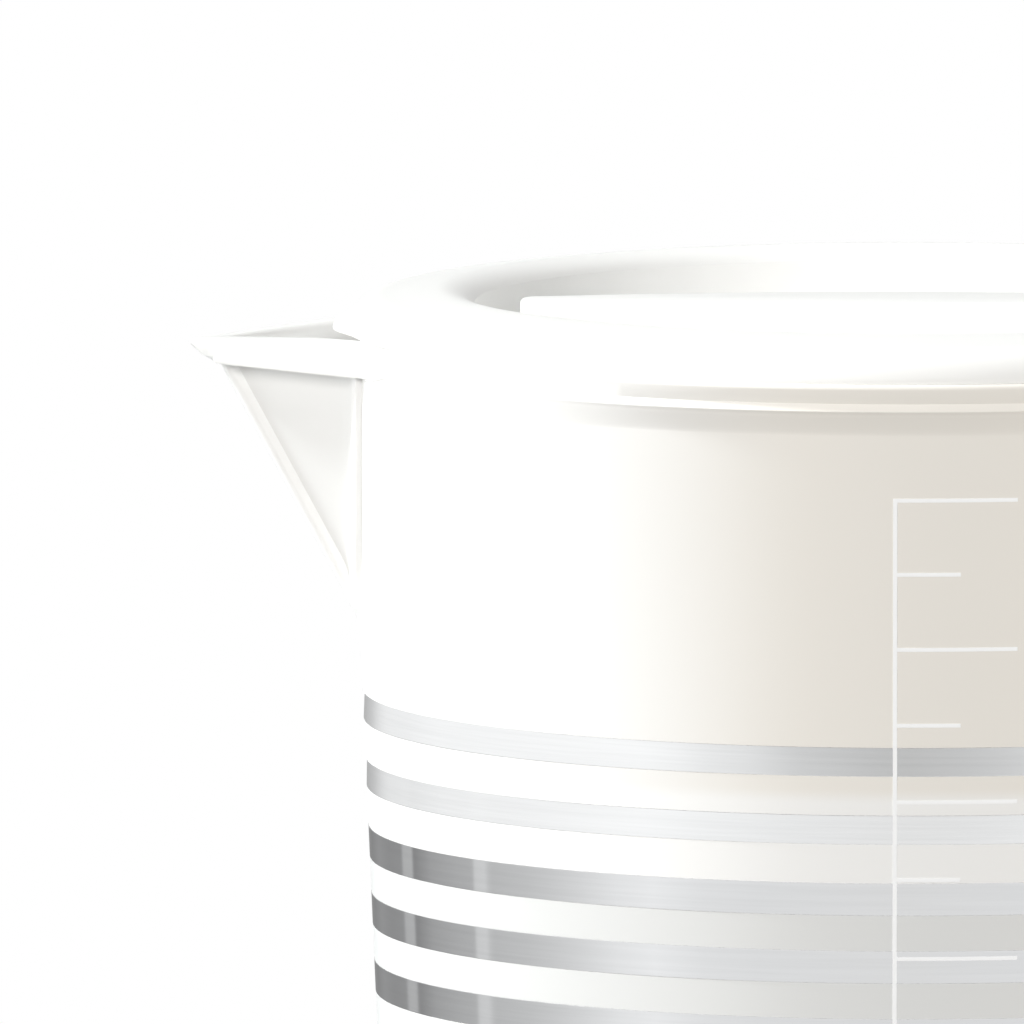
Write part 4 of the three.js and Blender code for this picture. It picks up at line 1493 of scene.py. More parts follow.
@dataclass(frozen=True)
class Base:
    """The cup that the vessel stands in, with its handle boss, and the silicone foot."""

    wall: Wall = Wall()
    foot_inset: float = 6.8
    foot_thickness: float = 2.5
    foot_seat: float = 1.7
    foot_edge: float = 0.5
    groove_radii: tuple[float, ...] = (30.5, 24.0, 17.5, 11.0)
    groove_half_width: float = 1.1
    groove_depth: float = 0.5
    cup_floor: float = 2.0
    edge_round: float = 1.2
    seat_round: float = 2.5
    lip_round: float = 0.35
    boss_height: float = 20.0
    boss_out: float = 6.0
    screw_inward: float = 4.0
    foot_bevel: float = 0.2
    columns: int = 220
    foot_columns: int = 160

    def foot_radius(self) -> float:
        """Return the foot's radius."""
        return self.wall.outer(0.0) - self.foot_inset

    def cup_profile(self) -> Outline:
        """Return the cup's profile, from the middle of its underside to the middle of its floor."""
        wall = self.wall
        under = self.foot_thickness + wall.fit_gap
        bottom = self.foot_thickness - self.foot_seat
        floor = under + self.cup_floor
        seat = self.foot_radius() + wall.fit_gap
        edge = wall.outer(bottom)
        top = wall.cup_top

        def inside(height: float) -> float:
            return wall.outer(height) - wall.cup_wall

        profile: Outline = [(0.0, under), (seat * 0.5, under), (seat, under), (seat, bottom)]
        corner = (edge - self.edge_round, bottom + self.edge_round)
        profile += arc_points(corner, (self.edge_round, self.edge_round), -90.0, 0.0, 6)
        profile += [(wall.outer(height), height) for height in spaced(6.0, top - 3.0, 8)]
        lip = (wall.outer(top) - self.lip_round, top - self.lip_round)
        profile += arc_points(lip, (self.lip_round, self.lip_round), 0.0, 90.0, 4)
        profile.append((inside(top), top))
        for height in spaced(top - 4.0, floor + self.seat_round + 2.0, 6):
            profile.append((inside(height), height))
        corner = (inside(floor) - self.seat_round, floor + self.seat_round)
        profile += arc_points(corner, (self.seat_round, self.seat_round), 0.0, -90.0, 6)
        profile += [(corner[0] * 0.5, floor), (0.0, floor)]
        return profile

    def foot_profile(self) -> Outline:
        """Return the foot's profile, with ring grooves in its underside."""
        outer = self.foot_radius()
        edge = self.foot_edge
        profile: Outline = [(0.0, 0.0)]
        for radius in sorted(self.groove_radii):
            half = self.groove_half_width
            profile.append((radius - half, 0.0))
            profile += arc_points((radius, 0.0), (half * 0.8, self.groove_depth), 180.0, 0.0, 6)
            profile.append((radius + half, 0.0))
        profile += arc_points((outer - edge, edge), (edge, edge), -90.0, 0.0, 4)
        profile.append((outer, self.foot_thickness - self.foot_bevel))
        profile.append((outer - self.foot_bevel, self.foot_thickness))
        profile += [(outer * 0.5, self.foot_thickness), (0.0, self.foot_thickness)]
        return profile

    def boss(self) -> Boss:
        """Return the lower handle boss."""
        height = self.boss_height
        return Boss(
            height=height,
            face=self.wall.outer(height) + self.boss_out,
            root=self.wall.outer(height) - self.wall.cup_wall / 2.0,
            hole_height=height + self.screw_inward,
        )

    def build(self, finishes: Finishes) -> None:
        """Build cup and foot and settle them on the jug."""
        rows = turned_rows(self.cup_profile(), self.columns)
        cup = skinned("base_shell", rows, self.boss().rows(self.wall))
        foot = skinned("foot_disc", turned_rows(self.foot_profile(), self.foot_columns))
        settle(cup, finishes.vessel, "jug", "white_plastic", "base_cup")
        settle(foot, finishes.silicone, "jug", "silicone", "foot_pad")


# Handle


@dataclass(frozen=True)
class Handle:
    """The D handle with its let-in cover strip and two screws."""

    wall: Wall = Wall()
    upper: float = 160.2
    lower: float = 20.0
    boss_out: float = 6.0
    reach: float = 92.93
    lean: float = 6.0
    thickness: float = 12.0
    width: float = 17.0
    arm: float = 18.0
    outer_round: float = 20.0
    inner_round: float = 11.0
    outer_edge: float = 2.2
    inner_edge: float = 4.2
    cover_thickness: float = 1.8
    cover_width: float = 10.4
    cover_edge: float = 0.45
    cover_overlap: float = 5.0
    channel_step: float = 0.01
    channel_draft: float = 0.02
    drill_over: float = 2.0
    screw_inward: float = 4.0
    screw_radius: float = 1.4
    screw_gap: float = 0.2
    head_radius: float = 2.8
    seat_wall: float = 3.5
    arc_steps: int = 24
    line_steps: int = 14

    def face(self, height: float) -> float:
        """Return where a boss's face stands along X."""
        return self.wall.outer(height) + self.boss_out

    def screw_height(self, height: float) -> float:
        """Return a screw's height, a little towards the handle's middle."""
        middle = (self.upper + self.lower) / 2.0
        return height + self.screw_inward * copysign(1.0, middle - height)

    def line(self, inset: float, upper_x: float, lower_x: float) -> Outline:
        """Return the handle's outer line, moved inward by an inset.

        Args:
            inset: Distance inside the outer face.
            upper_x: Where the line starts on the upper arm.
            lower_x: Where it ends on the lower arm.

        Returns:
            The line's points.
        """
        half = self.arm / 2.0 - inset
        return self.bent_line((upper_x, lower_x), half, self.reach - inset, self.outer_round - inset)

    def inner_line(self) -> Outline:
        """Return the line of the handle's inner face."""
        upper_x, lower_x = [self.face(height) + self.wall.fit_gap for height in (self.upper, self.lower)]
        across = self.reach - self.thickness
        return self.bent_line((upper_x, lower_x), -self.arm / 2.0, across, self.inner_round)

    def bent_line(self, ends: Pair, half: float, across: float, corner: float) -> Outline:
        """Return a line from the upper arm round to the lower arm.

        Args:
            ends: Where it starts and ends along X.
            half: How far it lies outside the arms' middles; less than 0 is inside.
            across: How far it reaches at the upper corner.
            corner: Radius of its two corners.

        Returns:
            The line's points.
        """
        top = self.upper + half
        bottom = self.lower - half
        corners = [
            (ends[0], top, 0.0),
            (across, top, corner),
            (across - self.lean, bottom, corner),
            (ends[1], bottom, 0.0),
        ]
        return rounded_path(corners, self.arc_steps, self.line_steps)

    def section(self, inner: Vector, outer: Vector, channel: float) -> Row:
        """Return the handle's section between an inner and an outer point.

        Args:
            inner: Point on the inner face's line, as (x, z).
            outer: Point on the outer face's line.
            channel: Depth of the cover's channel here.

        Returns:
            The section's points, round the handle once.
        """
        across = outer - inner
        length = across.length
        across.normalize()
        half = self.width / 2.0
        lip = self.cover_width / 2.0 + self.wall.fit_gap
        side: Outline = [(0.0, 0.0)]
        edge = self.inner_edge
        side += arc_points((half - edge, edge), (edge, edge), -90.0, 0.0, 7)
        edge = self.outer_edge
        side += arc_points((half - edge, length - edge), (edge, edge), 0.0, 90.0, 6)
        side.append((lip, length))
        side.append((lip - self.channel_draft, length - channel))
        side.append((0.0, length - channel))
        return self.mirrored_row(side, inner, across)

    def mirrored_row(self, side: Outline, start: Vector, across: Vector) -> Row:
        """Return a closed row from one half of a section.

        Args:
            side: The half's points, as (Y, distance from the start).
            start: Where the section starts, as (x, z).
            across: Direction of the distance.

        Returns:
            The row's points, both halves.
        """
        row: Row = []
        for y, out in side + [(-y, out) for y, out in side[-2:0:-1]]:
            place = start + across * out
            row.append((place.x, y, place.y))
        return row

    def frame_rows(self) -> list[Row]:
        """Return the rows of the handle's frame."""
        start = self.face(self.upper) + self.wall.fit_gap
        end = self.face(self.lower) + self.wall.fit_gap
        outer = [Vector(point) for point in self.line(0.0, start, end)]
        inner = [Vector(point) for point in self.inner_line()]
        deep = self.cover_thickness + self.wall.fit_gap
        upper_x = self.reach - self.outer_round - self.cover_overlap - self.wall.fit_gap
        rows: list[Row] = []
        before = None
        for inside, outside in zip(inner, outer):
            limit = upper_x if outside.y > (self.upper + self.lower) / 2.0 else upper_x - self.lean
            channel = deep if outside.x > limit else 0.0
            if before is not None and (channel > 0.0) != (before[2] > 0.0):
                share = (limit - before[1].x) / (outside.x - before[1].x)
                further = share + self.channel_step / max((outside - before[1]).length, 1e-6)
                for part, depth in ((share, before[2]), (further, channel)):
                    ends = (before[0].lerp(inside, part), before[1].lerp(outside, part))
                    rows.append(self.section(*ends, depth))
            rows.append(self.section(inside, outside, channel))
            before = (inside, outside, channel)
        return rows

    def cover_rows(self) -> list[Row]:
        """Return the rows of the cover strip."""
        upper_x = self.reach - self.outer_round - self.cover_overlap
        lower_x = upper_x - self.lean
        outer = [Vector(point) for point in self.line(0.0, upper_x, lower_x)]
        inner = [Vector(point) for point in self.line(self.cover_thickness, upper_x, lower_x)]
        half = self.cover_width / 2.0
        edge = self.cover_edge
        rows: list[Row] = []
        for inside, outside in zip(inner, outer):
            across = (outside - inside).normalized()
            side: Outline = [(0.0, 0.0), (half, 0.0)]
            side += arc_points((half - edge, self.cover_thickness - edge), (edge, edge), 0.0, 90.0, 5)
            side.append((0.0, self.cover_thickness))
            rows.append(self.mirrored_row(side, inside, across))
        return rows

    def build(self, finishes: Finishes) -> None:
        """Build frame, cover and screws and settle them on the jug."""
        frame = skinned("handle_grip", self.frame_rows())
        over = self.drill_over
        for height in (self.upper, self.lower):
            level = self.screw_height(height)
            seat = self.face(height) + self.wall.fit_gap + self.seat_wall
            for start, end, radius in (
                (self.face(height) - over, seat + over / 2.0, self.screw_radius),
                (seat, self.reach + over, self.head_radius),
            ):
                drill = bmesh.new()
                ends = (Vector((start, 0.0, level)), Vector((end, 0.0, level)))
                add_rows(drill, round_bar(*ends, radius + self.screw_gap))
                carve(frame, drill)
        settle(frame, finishes.white, "jug", "white_plastic", "handle_frame")
        cover = skinned("handle_strip", self.cover_rows())
        settle(cover, finishes.white, "jug", "white_plastic", "handle_cover")
        for name, height in (("upper", self.upper), ("lower", self.lower)):
            seat = self.face(height) + self.wall.fit_gap + self.seat_wall + self.screw_gap
            screw = Screw(seat=seat, height=self.screw_height(height))
            screw.build(f"{name}_screw", finishes, f"{name}_handle_screw")


@dataclass(frozen=True)
class Screw:
    """A small pan-head screw with a hexagon socket and a wound thread, lying along X."""

    seat: float
    height: float
    radius: float = 1.4
    core: float = 1.08
    pitch: float = 0.8
    length: float = 9.0
    head_radius: float = 2.8
    head_height: float = 1.8
    head_edge: float = 0.6
    socket_radius: float = 1.1
    socket_depth: float = 0.9
    thread_slope: float = 2.6
    thread_start: float = 1.2
    thread_end: Pair = (-0.6, -1.4)
    point_share: float = 0.55
    columns: int = 48

    def ring(self, along: float, radius: Measure) -> Row:
        """Return one ring of the screw at a place along its axis."""
        row: Row = []
        for angle in full_turn(self.columns):
            out = radius(angle)
            row.append((self.seat + along, out * cos(angle), self.height + out * sin(angle)))
        return row

    def thread(self, along: float, angle: float) -> float:
        """Return the shank's radius at a place on its thread."""
        turn = (along / self.pitch + angle / (2.0 * pi)) % 1.0
        ridge = max(0.0, 1.0 - self.thread_slope * abs(turn - 0.5))
        start = ease(-self.length, self.thread_start - self.length, along)
        run_in = start * ease(*self.thread_end, along)
        return self.core + (self.radius - self.core) * ridge * run_in

    def socket(self, angle: float) -> float:
        """Return the hexagon socket's radius at an angle."""
        sector = (angle + pi / 6.0) % (pi / 3.0) - pi / 6.0
        return self.socket_radius * cos(pi / 6.0) / cos(sector)

    def build(self, name: str, finishes: Finishes, node: str) -> None:
        """Build the screw and settle it on the jug.

        Args:
            name: Name of the piece.
            finishes: The shared finishes.
            node: Node of the frame that it replaces.
        """
        rows: list[Row] = [[(self.seat - self.length, 0.0, self.height)]]
        rows.append(self.ring(-self.length, lambda _: self.core * self.point_share))
        for along in spaced(-self.length + 0.5, -0.5, 84):
            rows.append(self.ring(along, lambda angle, a=along: self.thread(a, angle)))
        edge = self.head_edge
        head = self.head_radius
        places = [(self.radius, 0.0), (head, 0.0), (head, self.head_height - edge)]
        places += arc_points((head - edge, self.head_height - edge), (edge, edge), 30.0, 90.0, 2)
        for out, along in places:
            rows.append(self.ring(along, lambda _, o=out: o))
        rows.append(self.ring(self.head_height, self.socket))
        rows.append(self.ring(self.head_height - self.socket_depth, self.socket))
        rows.append([(self.seat + self.head_height - self.socket_depth, 0.0, self.height)])
        settle(skinned(name, rows), finishes.screw, "jug", "screw_steel", node)


# Lid


@dataclass(frozen=True)
class Lid:
    """The turning lid: a dish with a skirt and pour slots, a lens-shaped grip and a seal."""

    wall: Wall = Wall()
    radius: float = 50.5
    seat: float = 178.4
    flange: float = 3.5
    top_slope: float = 0.6
    edge_round: float = 3.3
    lobe_out: float = 1.3
    lobe_half_angle: float = radians(10.5)
    lobe_low: float = 179.1
    lobe_high: float = 179.8
    edge_end_angle: float = 18.0
    rim_gap: float = 0.01
    edge_draft: float = 0.02
    skirt_edge: float = 0.4
    inner_bevel: float = 0.6
    crest_inset: float = 8.4
    crest_round: float = 4.2
    crest_end_angle: float = 137.0
    recess_depth: float = 9.0
    recess_round: float = 3.0
    recess_draft: float = 3.6
    shell: float = 2.0
    skirt_radius: float = 47.8
    skirt_bottom: float = 169.0
    skirt_wall: float = 2.4
    groove_depth: float = 1.1
    groove_gap: float = 0.1
    running_gap: float = 0.3
    seal_below_rim: float = 1.8
    seal_tall: float = 2.4
    seal_bevel: float = 0.2
    seal_columns: int = 200
    lip_depth: float = 0.35
    lip_shape: float = 0.7
    slots: int = 7
    slot_width: float = 2.2
    slot_spacing: float = radians(6.0)
    slot_edge: float = 1.0
    slot_corner: float = 0.7
    cut_over: float = 2.0
    peg_radius: float = 2.4
    peg_half_spacing: float = 18.0
    peg_stake: float = 1.0
    peg_bevel: float = 0.5
    peg_columns: int = 40
    grip_end_gap: float = 7.2
    grip_half_width: float = 5.7
    grip_below_crest: float = 0.9
    grip_wall: float = 1.8
    grip_edge: float = 0.5
    grip_bevel: float = 0.2
    grip_end_round: float = 1.6
    grip_end_wall: float = 5.4
    columns: int = 264

    def crest(self) -> float:
        """Return the height of the lid's crest."""
        return self.seat + self.flange

    def crest_radius(self) -> float:
        """Return the radius of the lid's crest."""
        return self.radius - self.crest_inset

    def recess_floor(self) -> float:
        """Return the height of the recess's floor."""
        return self.crest() - self.recess_depth

    def groove(self) -> Point:
        """Return the seal groove's radius, bottom and top."""
        top = self.wall.height - self.seal_below_rim + self.groove_gap
        bottom = self.wall.height - self.seal_below_rim - self.seal_tall - self.groove_gap
        return self.skirt_radius - self.groove_depth, bottom, top

    def profile(self) -> Outline:
        """Return the dish's profile, from the middle of the recess to the middle of its underside."""
        crest = self.crest()
        crest_radius = self.crest_radius()
        edge_top = crest - self.top_slope
        floor = self.recess_floor()
        corner = (crest_radius - self.recess_draft - self.recess_round, floor + self.recess_round)
        groove_radius, groove_bottom, groove_top = self.groove()
        turn = self.crest_round
        skirt = self.skirt_radius
        skirt_inner = skirt - self.skirt_wall
        ceiling = edge_top - self.shell
        profile: Outline = [(0.0, floor), (corner[0] * 0.4, floor), (corner[0] * 0.8, floor)]
        profile += arc_points(corner, (self.recess_round, self.recess_round), -90.0, 0.0, 8)
        profile += arc_points((crest_radius, crest - turn), (turn, turn), self.crest_end_angle, 86.0, 12)
        end = radians(self.edge_end_angle)
        across = self.edge_round / cos(end)
        tall = (edge_top - self.seat) / (1.0 - sin(end))
        shoulder = (self.radius - self.edge_round, edge_top - tall)
        profile.append(((crest_radius + shoulder[0]) / 2.0, (crest + edge_top) / 2.0))
        profile += arc_points(shoulder, (across, tall), 88.0, self.edge_end_angle, 14)
        bottom = self.wall.height + self.rim_gap
        profile += [(self.radius - self.edge_draft, bottom), (skirt, bottom)]
        profile += [(skirt, groove_top), (groove_radius, groove_top)]
        profile += [(groove_radius, groove_bottom), (skirt, groove_bottom)]
        lower = self.skirt_edge
        for out, start in ((skirt - lower, 0.0), (skirt_inner + lower, -90.0)):
            centre = (out, self.skirt_bottom + lower)
            profile += arc_points(centre, (lower, lower), start, start - 90.0, 4)
        profile += [(skirt_inner, ceiling - self.inner_bevel), (skirt_inner - self.inner_bevel, ceiling)]
        profile.append((crest_radius + self.shell, ceiling))
        outer_round = self.recess_round + self.shell
        profile += arc_points(corner, (outer_round, outer_round), 0.0, -90.0, 8)
        profile += [(corner[0] * 0.4, floor - self.shell), (0.0, floor - self.shell)]
        return profile

    def lobe(self, radius: float, height: float, angle: float) -> float:
        """Return how far the flange's lower edge swells towards the spout at a place on the dish."""
        if radius <= self.skirt_radius or height <= self.wall.height:
            return 0.0
        share = min(abs(pi - angle) / self.lobe_half_angle, 1.0)
        return ease(self.lobe_high, self.lobe_low, height) * (self.lobe_out * cos(share * pi / 2.0) ** 2)

    def cutters(self) -> Form:
        """Return the pour slots and the grip's peg holes as one cutting form."""
        form = bmesh.new()
        _, groove_bottom, _ = self.groove()
        tall = groove_bottom - self.skirt_bottom - 2.0 * self.slot_edge
        middle = (groove_bottom + self.skirt_bottom) / 2.0
        half = self.slot_width / 2.0
        corner = self.slot_corner
        outline: Outline = []
        for side_y, side_z, start in ((1, 1, 0.0), (-1, 1, 90.0), (-1, -1, 180.0), (1, -1, 270.0)):
            centre = (side_y * (half - corner), side_z * (tall / 2.0 - corner))
            outline += arc_points(centre, (corner, corner), start, start + 90.0, 4)
        for place in range(self.slots):
            turn = pi + (place - (self.slots - 1) / 2.0) * self.slot_spacing
            rows: list[Row] = []
            inner = self.skirt_radius - self.skirt_wall
            for out in (inner - self.cut_over, self.skirt_radius + self.cut_over):
                row: Row = []
                for y, z in outline:
                    x = out * cos(turn) - y * sin(turn)
                    row.append((x, out * sin(turn) + y * cos(turn), middle + z))
                rows.append(row)
            add_rows(form, rows)
        for x in (-self.peg_half_spacing, self.peg_half_spacing):
            low = Vector((x, 0.0, self.recess_floor() - self.shell - self.cut_over))
            high = Vector((x, 0.0, self.recess_floor() + self.cut_over))
            add_rows(form, round_bar(low, high, self.peg_radius + self.wall.fit_gap))
        return form

    def lens(self, half_length: float, half_width: float, end_round: float, inset: float) -> Outline:
        """Return a lens outline with rounded ends, moved inward by an inset.

        Args:
            half_length: Half of its length.
            half_width: Half of its width.
            end_round: Radius of its ends.
            inset: Distance inside the outline.

        Returns:
            The outline's points.
        """
        inner = half_length - end_round
        bulge = half_width - end_round
        arc_radius = (inner * inner + bulge * bulge) / (2.0 * bulge) + end_round
        end_angle = asin(inner / (arc_radius - end_round))
        side = arc_radius - inset
        end = end_round - inset
        outline: Outline = []
        for sign in (1.0, -1.0):
            for angle in spaced(-end_angle, end_angle, 48):
                x = side * sin(angle) * sign
                y = sign * (half_width - arc_radius + side * cos(angle))
                outline.append((x, y))
            for angle in spaced(end_angle, pi - end_angle, 10)[1:-1]:
                x = sign * (inner + end * sin(angle))
                outline.append((x, sign * end * cos(angle)))
        return outline

    def grip_form(self) -> Form:
        """Return the hollow grip bar with its two pegs."""
        bottom = self.recess_floor() + self.wall.fit_gap
        top = self.crest() - self.grip_below_crest
        half = self.crest_radius() - self.grip_end_gap
        edge = self.grip_edge
        form = bmesh.new()
        rows: list[Row] = []

        def level(height: float, inset: float) -> Row:
            outline = self.lens(half, self.grip_half_width, self.grip_end_round, inset)
            return [(x, y, height) for x, y in outline]

        hollow_half = half - self.grip_end_wall
        hollow_width = self.grip_half_width - self.grip_wall
        hollow = self.lens(hollow_half, hollow_width, self.grip_end_round / 2.0, 0.0)
        rows.append([(x, y, top - self.grip_wall) for x, y in hollow])
        rows.append([(x, y, bottom) for x, y in hollow])
        rows.append(level(bottom, self.grip_bevel))
        rows.append(level(bottom + self.grip_bevel, 0.0))
        for inset, height in arc_points((edge, top - edge), (-edge, edge), 0.0, 90.0, 4):
            rows.append(level(height, inset))
        add_rows(form, rows)
        stake = self.recess_floor() - self.shell - self.peg_stake
        bevel = self.peg_bevel
        profile = [(self.peg_radius - bevel, stake), (self.peg_radius - bevel * 0.3, stake + bevel * 0.3)]
        profile += [(self.peg_radius, stake + bevel), (self.peg_radius, top - self.grip_wall / 2.0)]
        for middle in (-self.peg_half_spacing, self.peg_half_spacing):
            rings = turned_rows(profile, self.peg_columns)
            add_rows(form, [[(middle + x, y, z) for x, y, z in ring] for ring in rings])
        return form

    def seal_profile(self) -> Outline:
        """Return the seal's closed profile, with two soft lips on its outside."""
        top = self.wall.height - self.seal_below_rim
        bottom = top - self.seal_tall
        inner = self.skirt_radius - self.groove_depth + self.running_gap
        outer = self.wall.inner(bottom) - self.groove_gap
        bevel = self.seal_bevel
        profile: Outline = [(inner, top - bevel), (inner, bottom + bevel), (inner + bevel, bottom)]
        for share in spaced(0.0, 1.0, 20):
            wave = 1.0 - abs(sin(2.0 * pi * share)) ** self.lip_shape
            profile.append((outer - self.lip_depth * wave, bottom + self.seal_tall * share))
        profile.append((inner + bevel, top))
        return profile

    def build(self, finishes: Finishes) -> None:
        """Build dish, grip and seal and settle them on their bodies."""
        dish = skinned("lid_shell", turned_rows(self.profile(), self.columns, self.lobe))
        carve(dish, self.cutters())
        grip = finish_mesh("grip_bar", self.grip_form())
        form = bmesh.new()
        add_rows(form, turned_rows(self.seal_profile(), self.seal_columns), capped=False, joined=True)
        seal = finish_mesh("seal_ring", form, radians(60.0))
        settle(dish, finishes.white, "lid", "white_plastic", "lid_dish")
        settle(grip, finishes.white, "lid", "white_plastic", "lid_grip")
        settle(seal, finishes.silicone, "lid_carrier", "silicone", "lid_seal")


# Studio


@dataclass(frozen=True)
class Uprights:
    """What the polished hoops mirror: pale and dark uprights that stand round the jug.

    Each row of them is a run of stops, as (turn, brightness). The turn is 0 at the camera's side and 180
    behind the jug, and both sides are alike. The four rows lie above each other.
    """

    low: Stops = (
        # pale front, which falls off towards the side
        (0.0, 0.89), (33.0, 0.91), (45.0, 0.95), (57.0, 1.06), (66.0, 0.99), (76.0, 0.84), (84.0, 0.74),
        # a narrow pale strip beside the jug
        (91.0, 0.67), (101.5, 0.61), (103.0, 0.66), (103.8, 0.76), (107.5, 0.74), (108.3, 0.54),
        # a second one further round
        (114.0, 0.51), (125.0, 0.43), (133.5, 0.29), (134.5, 0.54), (139.5, 0.52), (140.5, 0.34),
        # dark back
        (149.0, 0.32), (158.0, 0.34), (168.0, 0.27), (176.0, 0.30), (180.0, 0.40),
    )
    middle: Stops = (
        # nearly even, down to a grey back
        (0.0, 0.99), (34.0, 1.00), (43.0, 1.02), (60.0, 1.06), (118.0, 1.03), (133.0, 0.95),
        (147.0, 0.93), (152.0, 0.84), (160.0, 0.62), (170.0, 0.50), (180.0, 0.45),
    )
    high: Stops = (
        # grey front, pale side, darker back
        (0.0, 0.44), (10.0, 0.48), (23.0, 0.58), (34.0, 0.79), (43.0, 0.88), (50.0, 0.99),
        (58.0, 1.06), (138.0, 1.06), (144.0, 1.00), (150.0, 0.93), (155.0, 0.78), (160.0, 0.66),
        (168.0, 0.66), (180.0, 0.85),
    )
    upper: Stops = ((0.0, 1.15), (138.0, 1.12), (152.0, 0.70), (180.0, 0.40))
    middle_from: Pair = (-0.118, -0.108)
    high_from: Pair = (-0.078, -0.058)
    upper_from: Pair = (0.0, 0.05)
    blue: float = 0.005

    def ramp(self, wiring: Wiring, share: Socket, stops: Stops) -> Socket:
        """Build one row of uprights.

        Args:
            wiring: The world's wiring.
            share: Turn from the front, 0, to the back, 1.
            stops: Turn in degrees and brightness of each stop.

        Returns:
            The row's colour at that turn.
        """
        ramp = wiring.add("ShaderNodeValToRGB", {0: share})
        elements = ramp.color_ramp.elements
        for element, place, (_, level) in zip(elements, WHOLE, (stops[0], stops[-1])):
            element.position = place
            element.color = (level, level, level, 1.0)
        for angle, level in stops[1:-1]:
            element = elements.new(angle / 180.0)
            element.color = (level * (1.0 - self.blue), level, level * (1.0 + self.blue), 1.0)
        return ramp.outputs[0]

    def build(self, wiring: Wiring, parts: Sequence[Socket]) -> Socket:
        """Build all rows and return their colour in the direction whose parts are given."""
        side = wiring.maths("ABSOLUTE", parts[0])
        front = wiring.maths("MULTIPLY", parts[1], -1.0)
        share = wiring.maths("DIVIDE", wiring.maths("ARCTAN2", side, front), pi)
        seen = self.ramp(wiring, share, self.low)
        rows = ((self.middle_from, self.middle), (self.high_from, self.high), (self.upper_from, self.upper))
        for span, stops in rows:
            seen = wiring.blended(wiring.ranged(parts[2], span), seen, self.ramp(wiring, share, stops))
        return seen


@dataclass(frozen=True)
class Sun:
    """A soft distant lamp.

    All three angles are in degrees: the azimuth from the camera's side towards the spout's side, the
    elevation, and the softness, which is the width of the light.
    """

    name: str
    azimuth: float
    elevation: float
    strength: float
    softness: float
    colour: Point

    def build(self) -> None:
        """Add the lamp to the scene."""
        data = bpy.data.lights.new(self.name, "SUN")
        data.energy = self.strength
        data.angle = radians(self.softness)
        data.color = self.colour
        lamp = add_object(self.name, data)
        turn = radians(self.azimuth)
        up = radians(self.elevation)
        towards = Vector((-sin(turn) * cos(up), -cos(turn) * cos(up), sin(up)))
        lamp.rotation_mode = "QUATERNION"
        lamp.rotation_quaternion = towards.to_track_quat("Z", "Y")
        lamp.visible_glossy = False


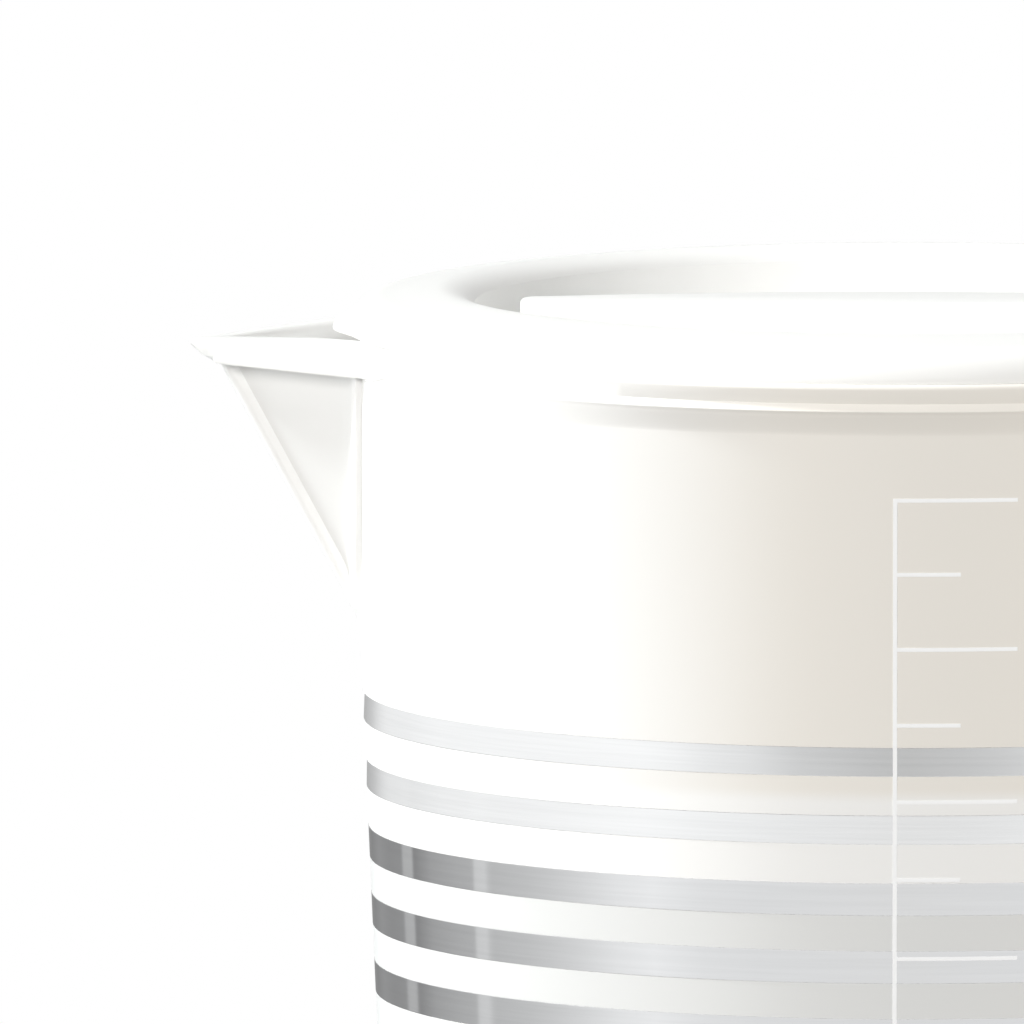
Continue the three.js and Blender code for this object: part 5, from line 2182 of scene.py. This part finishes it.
@dataclass(frozen=True)
class Studio:
    """Camera, lamps, surroundings and floor."""

    lens: float = 1365.6
    distance: float = 3.5
    elevation: float = radians(5.956)
    target: Point = (-35.65, 0.0, 161.574)
    ambient_low: Point = (0.155, 0.15, 0.14)
    ambient_high: Point = (0.38, 0.38, 0.375)
    ambient_span: Pair = (-0.2, 0.9)
    ceiling: Point = (0.88, 0.88, 0.87)
    ceiling_span: Pair = (0.45, 0.75)
    floor_radii: tuple[float, ...] = (200.0, 600.0, 4000.0)
    floor_fade: Pair = (0.18, 0.55)
    paper_dark: Point = (0.91, 0.91, 0.905)
    paper_light: Point = (0.93, 0.93, 0.925)
    paper_roughness: float = 0.9
    paper_scale: float = 300.0
    uprights: Uprights = Uprights()
    suns: tuple[Sun, ...] = (
        Sun("left_key", 29.0, 19.0, strength=2.46, softness=30.0, colour=(1.0, 0.985, 0.965)),
        Sun("edge_key", 100.0, 42.0, strength=3.00, softness=8.0, colour=(0.97, 1.0, 1.0)),
        Sun("low_left", 137.0, -47.0, strength=2.90, softness=30.0, colour=(0.96, 0.99, 1.0)),
        Sun("right_fill", -96.0, -14.0, strength=2.30, softness=30.0, colour=(1.0, 0.93, 0.85)),
        Sun("back_fill", -150.0, 12.0, strength=1.60, softness=30.0, colour=(1.0, 0.98, 0.96)),
    )

    def camera(self) -> None:
        """Set up the camera at the photograph's angle."""
        data = bpy.data.cameras.new("camera")
        data.lens = self.lens
        data.sensor_width = 36.0
        data.clip_start = 0.1
        data.clip_end = 50.0
        camera = add_object("camera", data)
        aim = Vector(self.target) * MM
        back = Vector((0.0, -cos(self.elevation), sin(self.elevation)))
        camera.location = aim + back * self.distance
        camera.rotation_mode = "QUATERNION"
        camera.rotation_quaternion = (-back).to_track_quat("-Z", "Y")
        bpy.context.scene.camera = camera

    def surroundings(self) -> None:
        """Build the pale studio: even for soft light, with upright flags for polished metal."""
        world = bpy.data.worlds.new("studio")
        bpy.context.scene.world = world
        world.use_nodes = True
        world.node_tree.nodes.clear()
        wiring = Wiring(world.node_tree)
        direction = wiring.add("ShaderNodeTexCoord").outputs["Generated"]
        parts = wiring.add("ShaderNodeSeparateXYZ", {0: direction}).outputs
        upright = self.uprights.build(wiring, parts)
        steep = wiring.ranged(wiring.maths("ABSOLUTE", parts[2]), self.ceiling_span)
        glossy = wiring.blended(steep, upright, self.ceiling)
        path = wiring.add("ShaderNodeLightPath").outputs
        rise = wiring.ranged(parts[2], self.ambient_span)
        soft = wiring.blended(rise, self.ambient_low, self.ambient_high)
        seen = wiring.blended(path["Is Glossy Ray"], soft, glossy)
        shown = wiring.blended(path["Is Camera Ray"], seen, (1.0, 1.0, 1.0))
        background = wiring.add("ShaderNodeBackground", {"Color": shown, "Strength": 1.0})
        wiring.add("ShaderNodeOutputWorld", {"Surface": background.outputs[0]})

    def floor(self) -> None:
        """Build the plain pale floor, which runs out into white far from the jug."""
        form = bmesh.new()
        profile = [(radius, 0.0) for radius in (0.0, *self.floor_radii)]
        add_rows(form, turned_rows(profile, 96), capped=False)
        floor = finish_mesh("floor", form)
        if floor.data.polygons[0].normal.z < 0.0:
            floor.data.flip_normals()
        material, wiring, shader = new_material("floor_paper")
        shader.inputs["Roughness"].default_value = self.paper_roughness
        place = wiring.place()
        grain = wiring.noise(place, self.paper_scale)
        paper = wiring.blended(grain, self.paper_dark, self.paper_light)
        wiring.join(paper, shader, "Base Color")
        away = wiring.add("ShaderNodeVectorMath", {0: place}, operation="LENGTH").outputs["Value"]
        far = wiring.ranged(away, self.floor_fade)
        seen = wiring.add("ShaderNodeLightPath").outputs["Is Camera Ray"]
        white = wiring.add("ShaderNodeEmission", {"Color": (1.0, 1.0, 1.0, 1.0), "Strength": 1.0})
        values = {0: wiring.maths("MULTIPLY", far, seen), 1: shader.outputs[0], 2: white.outputs[0]}
        mixed = wiring.add("ShaderNodeMixShader", values)
        clear = wiring.add("ShaderNodeBsdfTransparent")
        back = wiring.add("ShaderNodeNewGeometry").outputs["Backfacing"]
        final = wiring.add("ShaderNodeMixShader", {0: back, 1: mixed.outputs[0], 2: clear.outputs[0]})
        output = next(node for node in wiring.tree.nodes if node.bl_idname == "ShaderNodeOutputMaterial")
        wiring.join(final.outputs[0], output, "Surface")
        floor.data.materials.append(material)
        floor.visible_glossy = False
        floor.visible_diffuse = False
        floor.visible_shadow = False

    def build(self) -> None:
        """Build the whole studio."""
        self.camera()
        self.surroundings()
        self.floor()
        for sun in self.suns:
            sun.build()
        bpy.context.scene.view_settings.view_transform = "Standard"
        LOG.info("studio ready")


def main() -> None:
    """Load the frame, build every sub-assembly round it and light it."""
    logging.basicConfig(level=logging.INFO, format="%(name)s: %(message)s")
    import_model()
    finishes = Finishes()
    for assembly in (Vessel(), Hoops(), Scale(), Base(), Handle(), Lid()):
        assembly.build(finishes)
    Studio().build()
    bpy.context.view_layer.update()


if __name__ == "__main__":
    main()
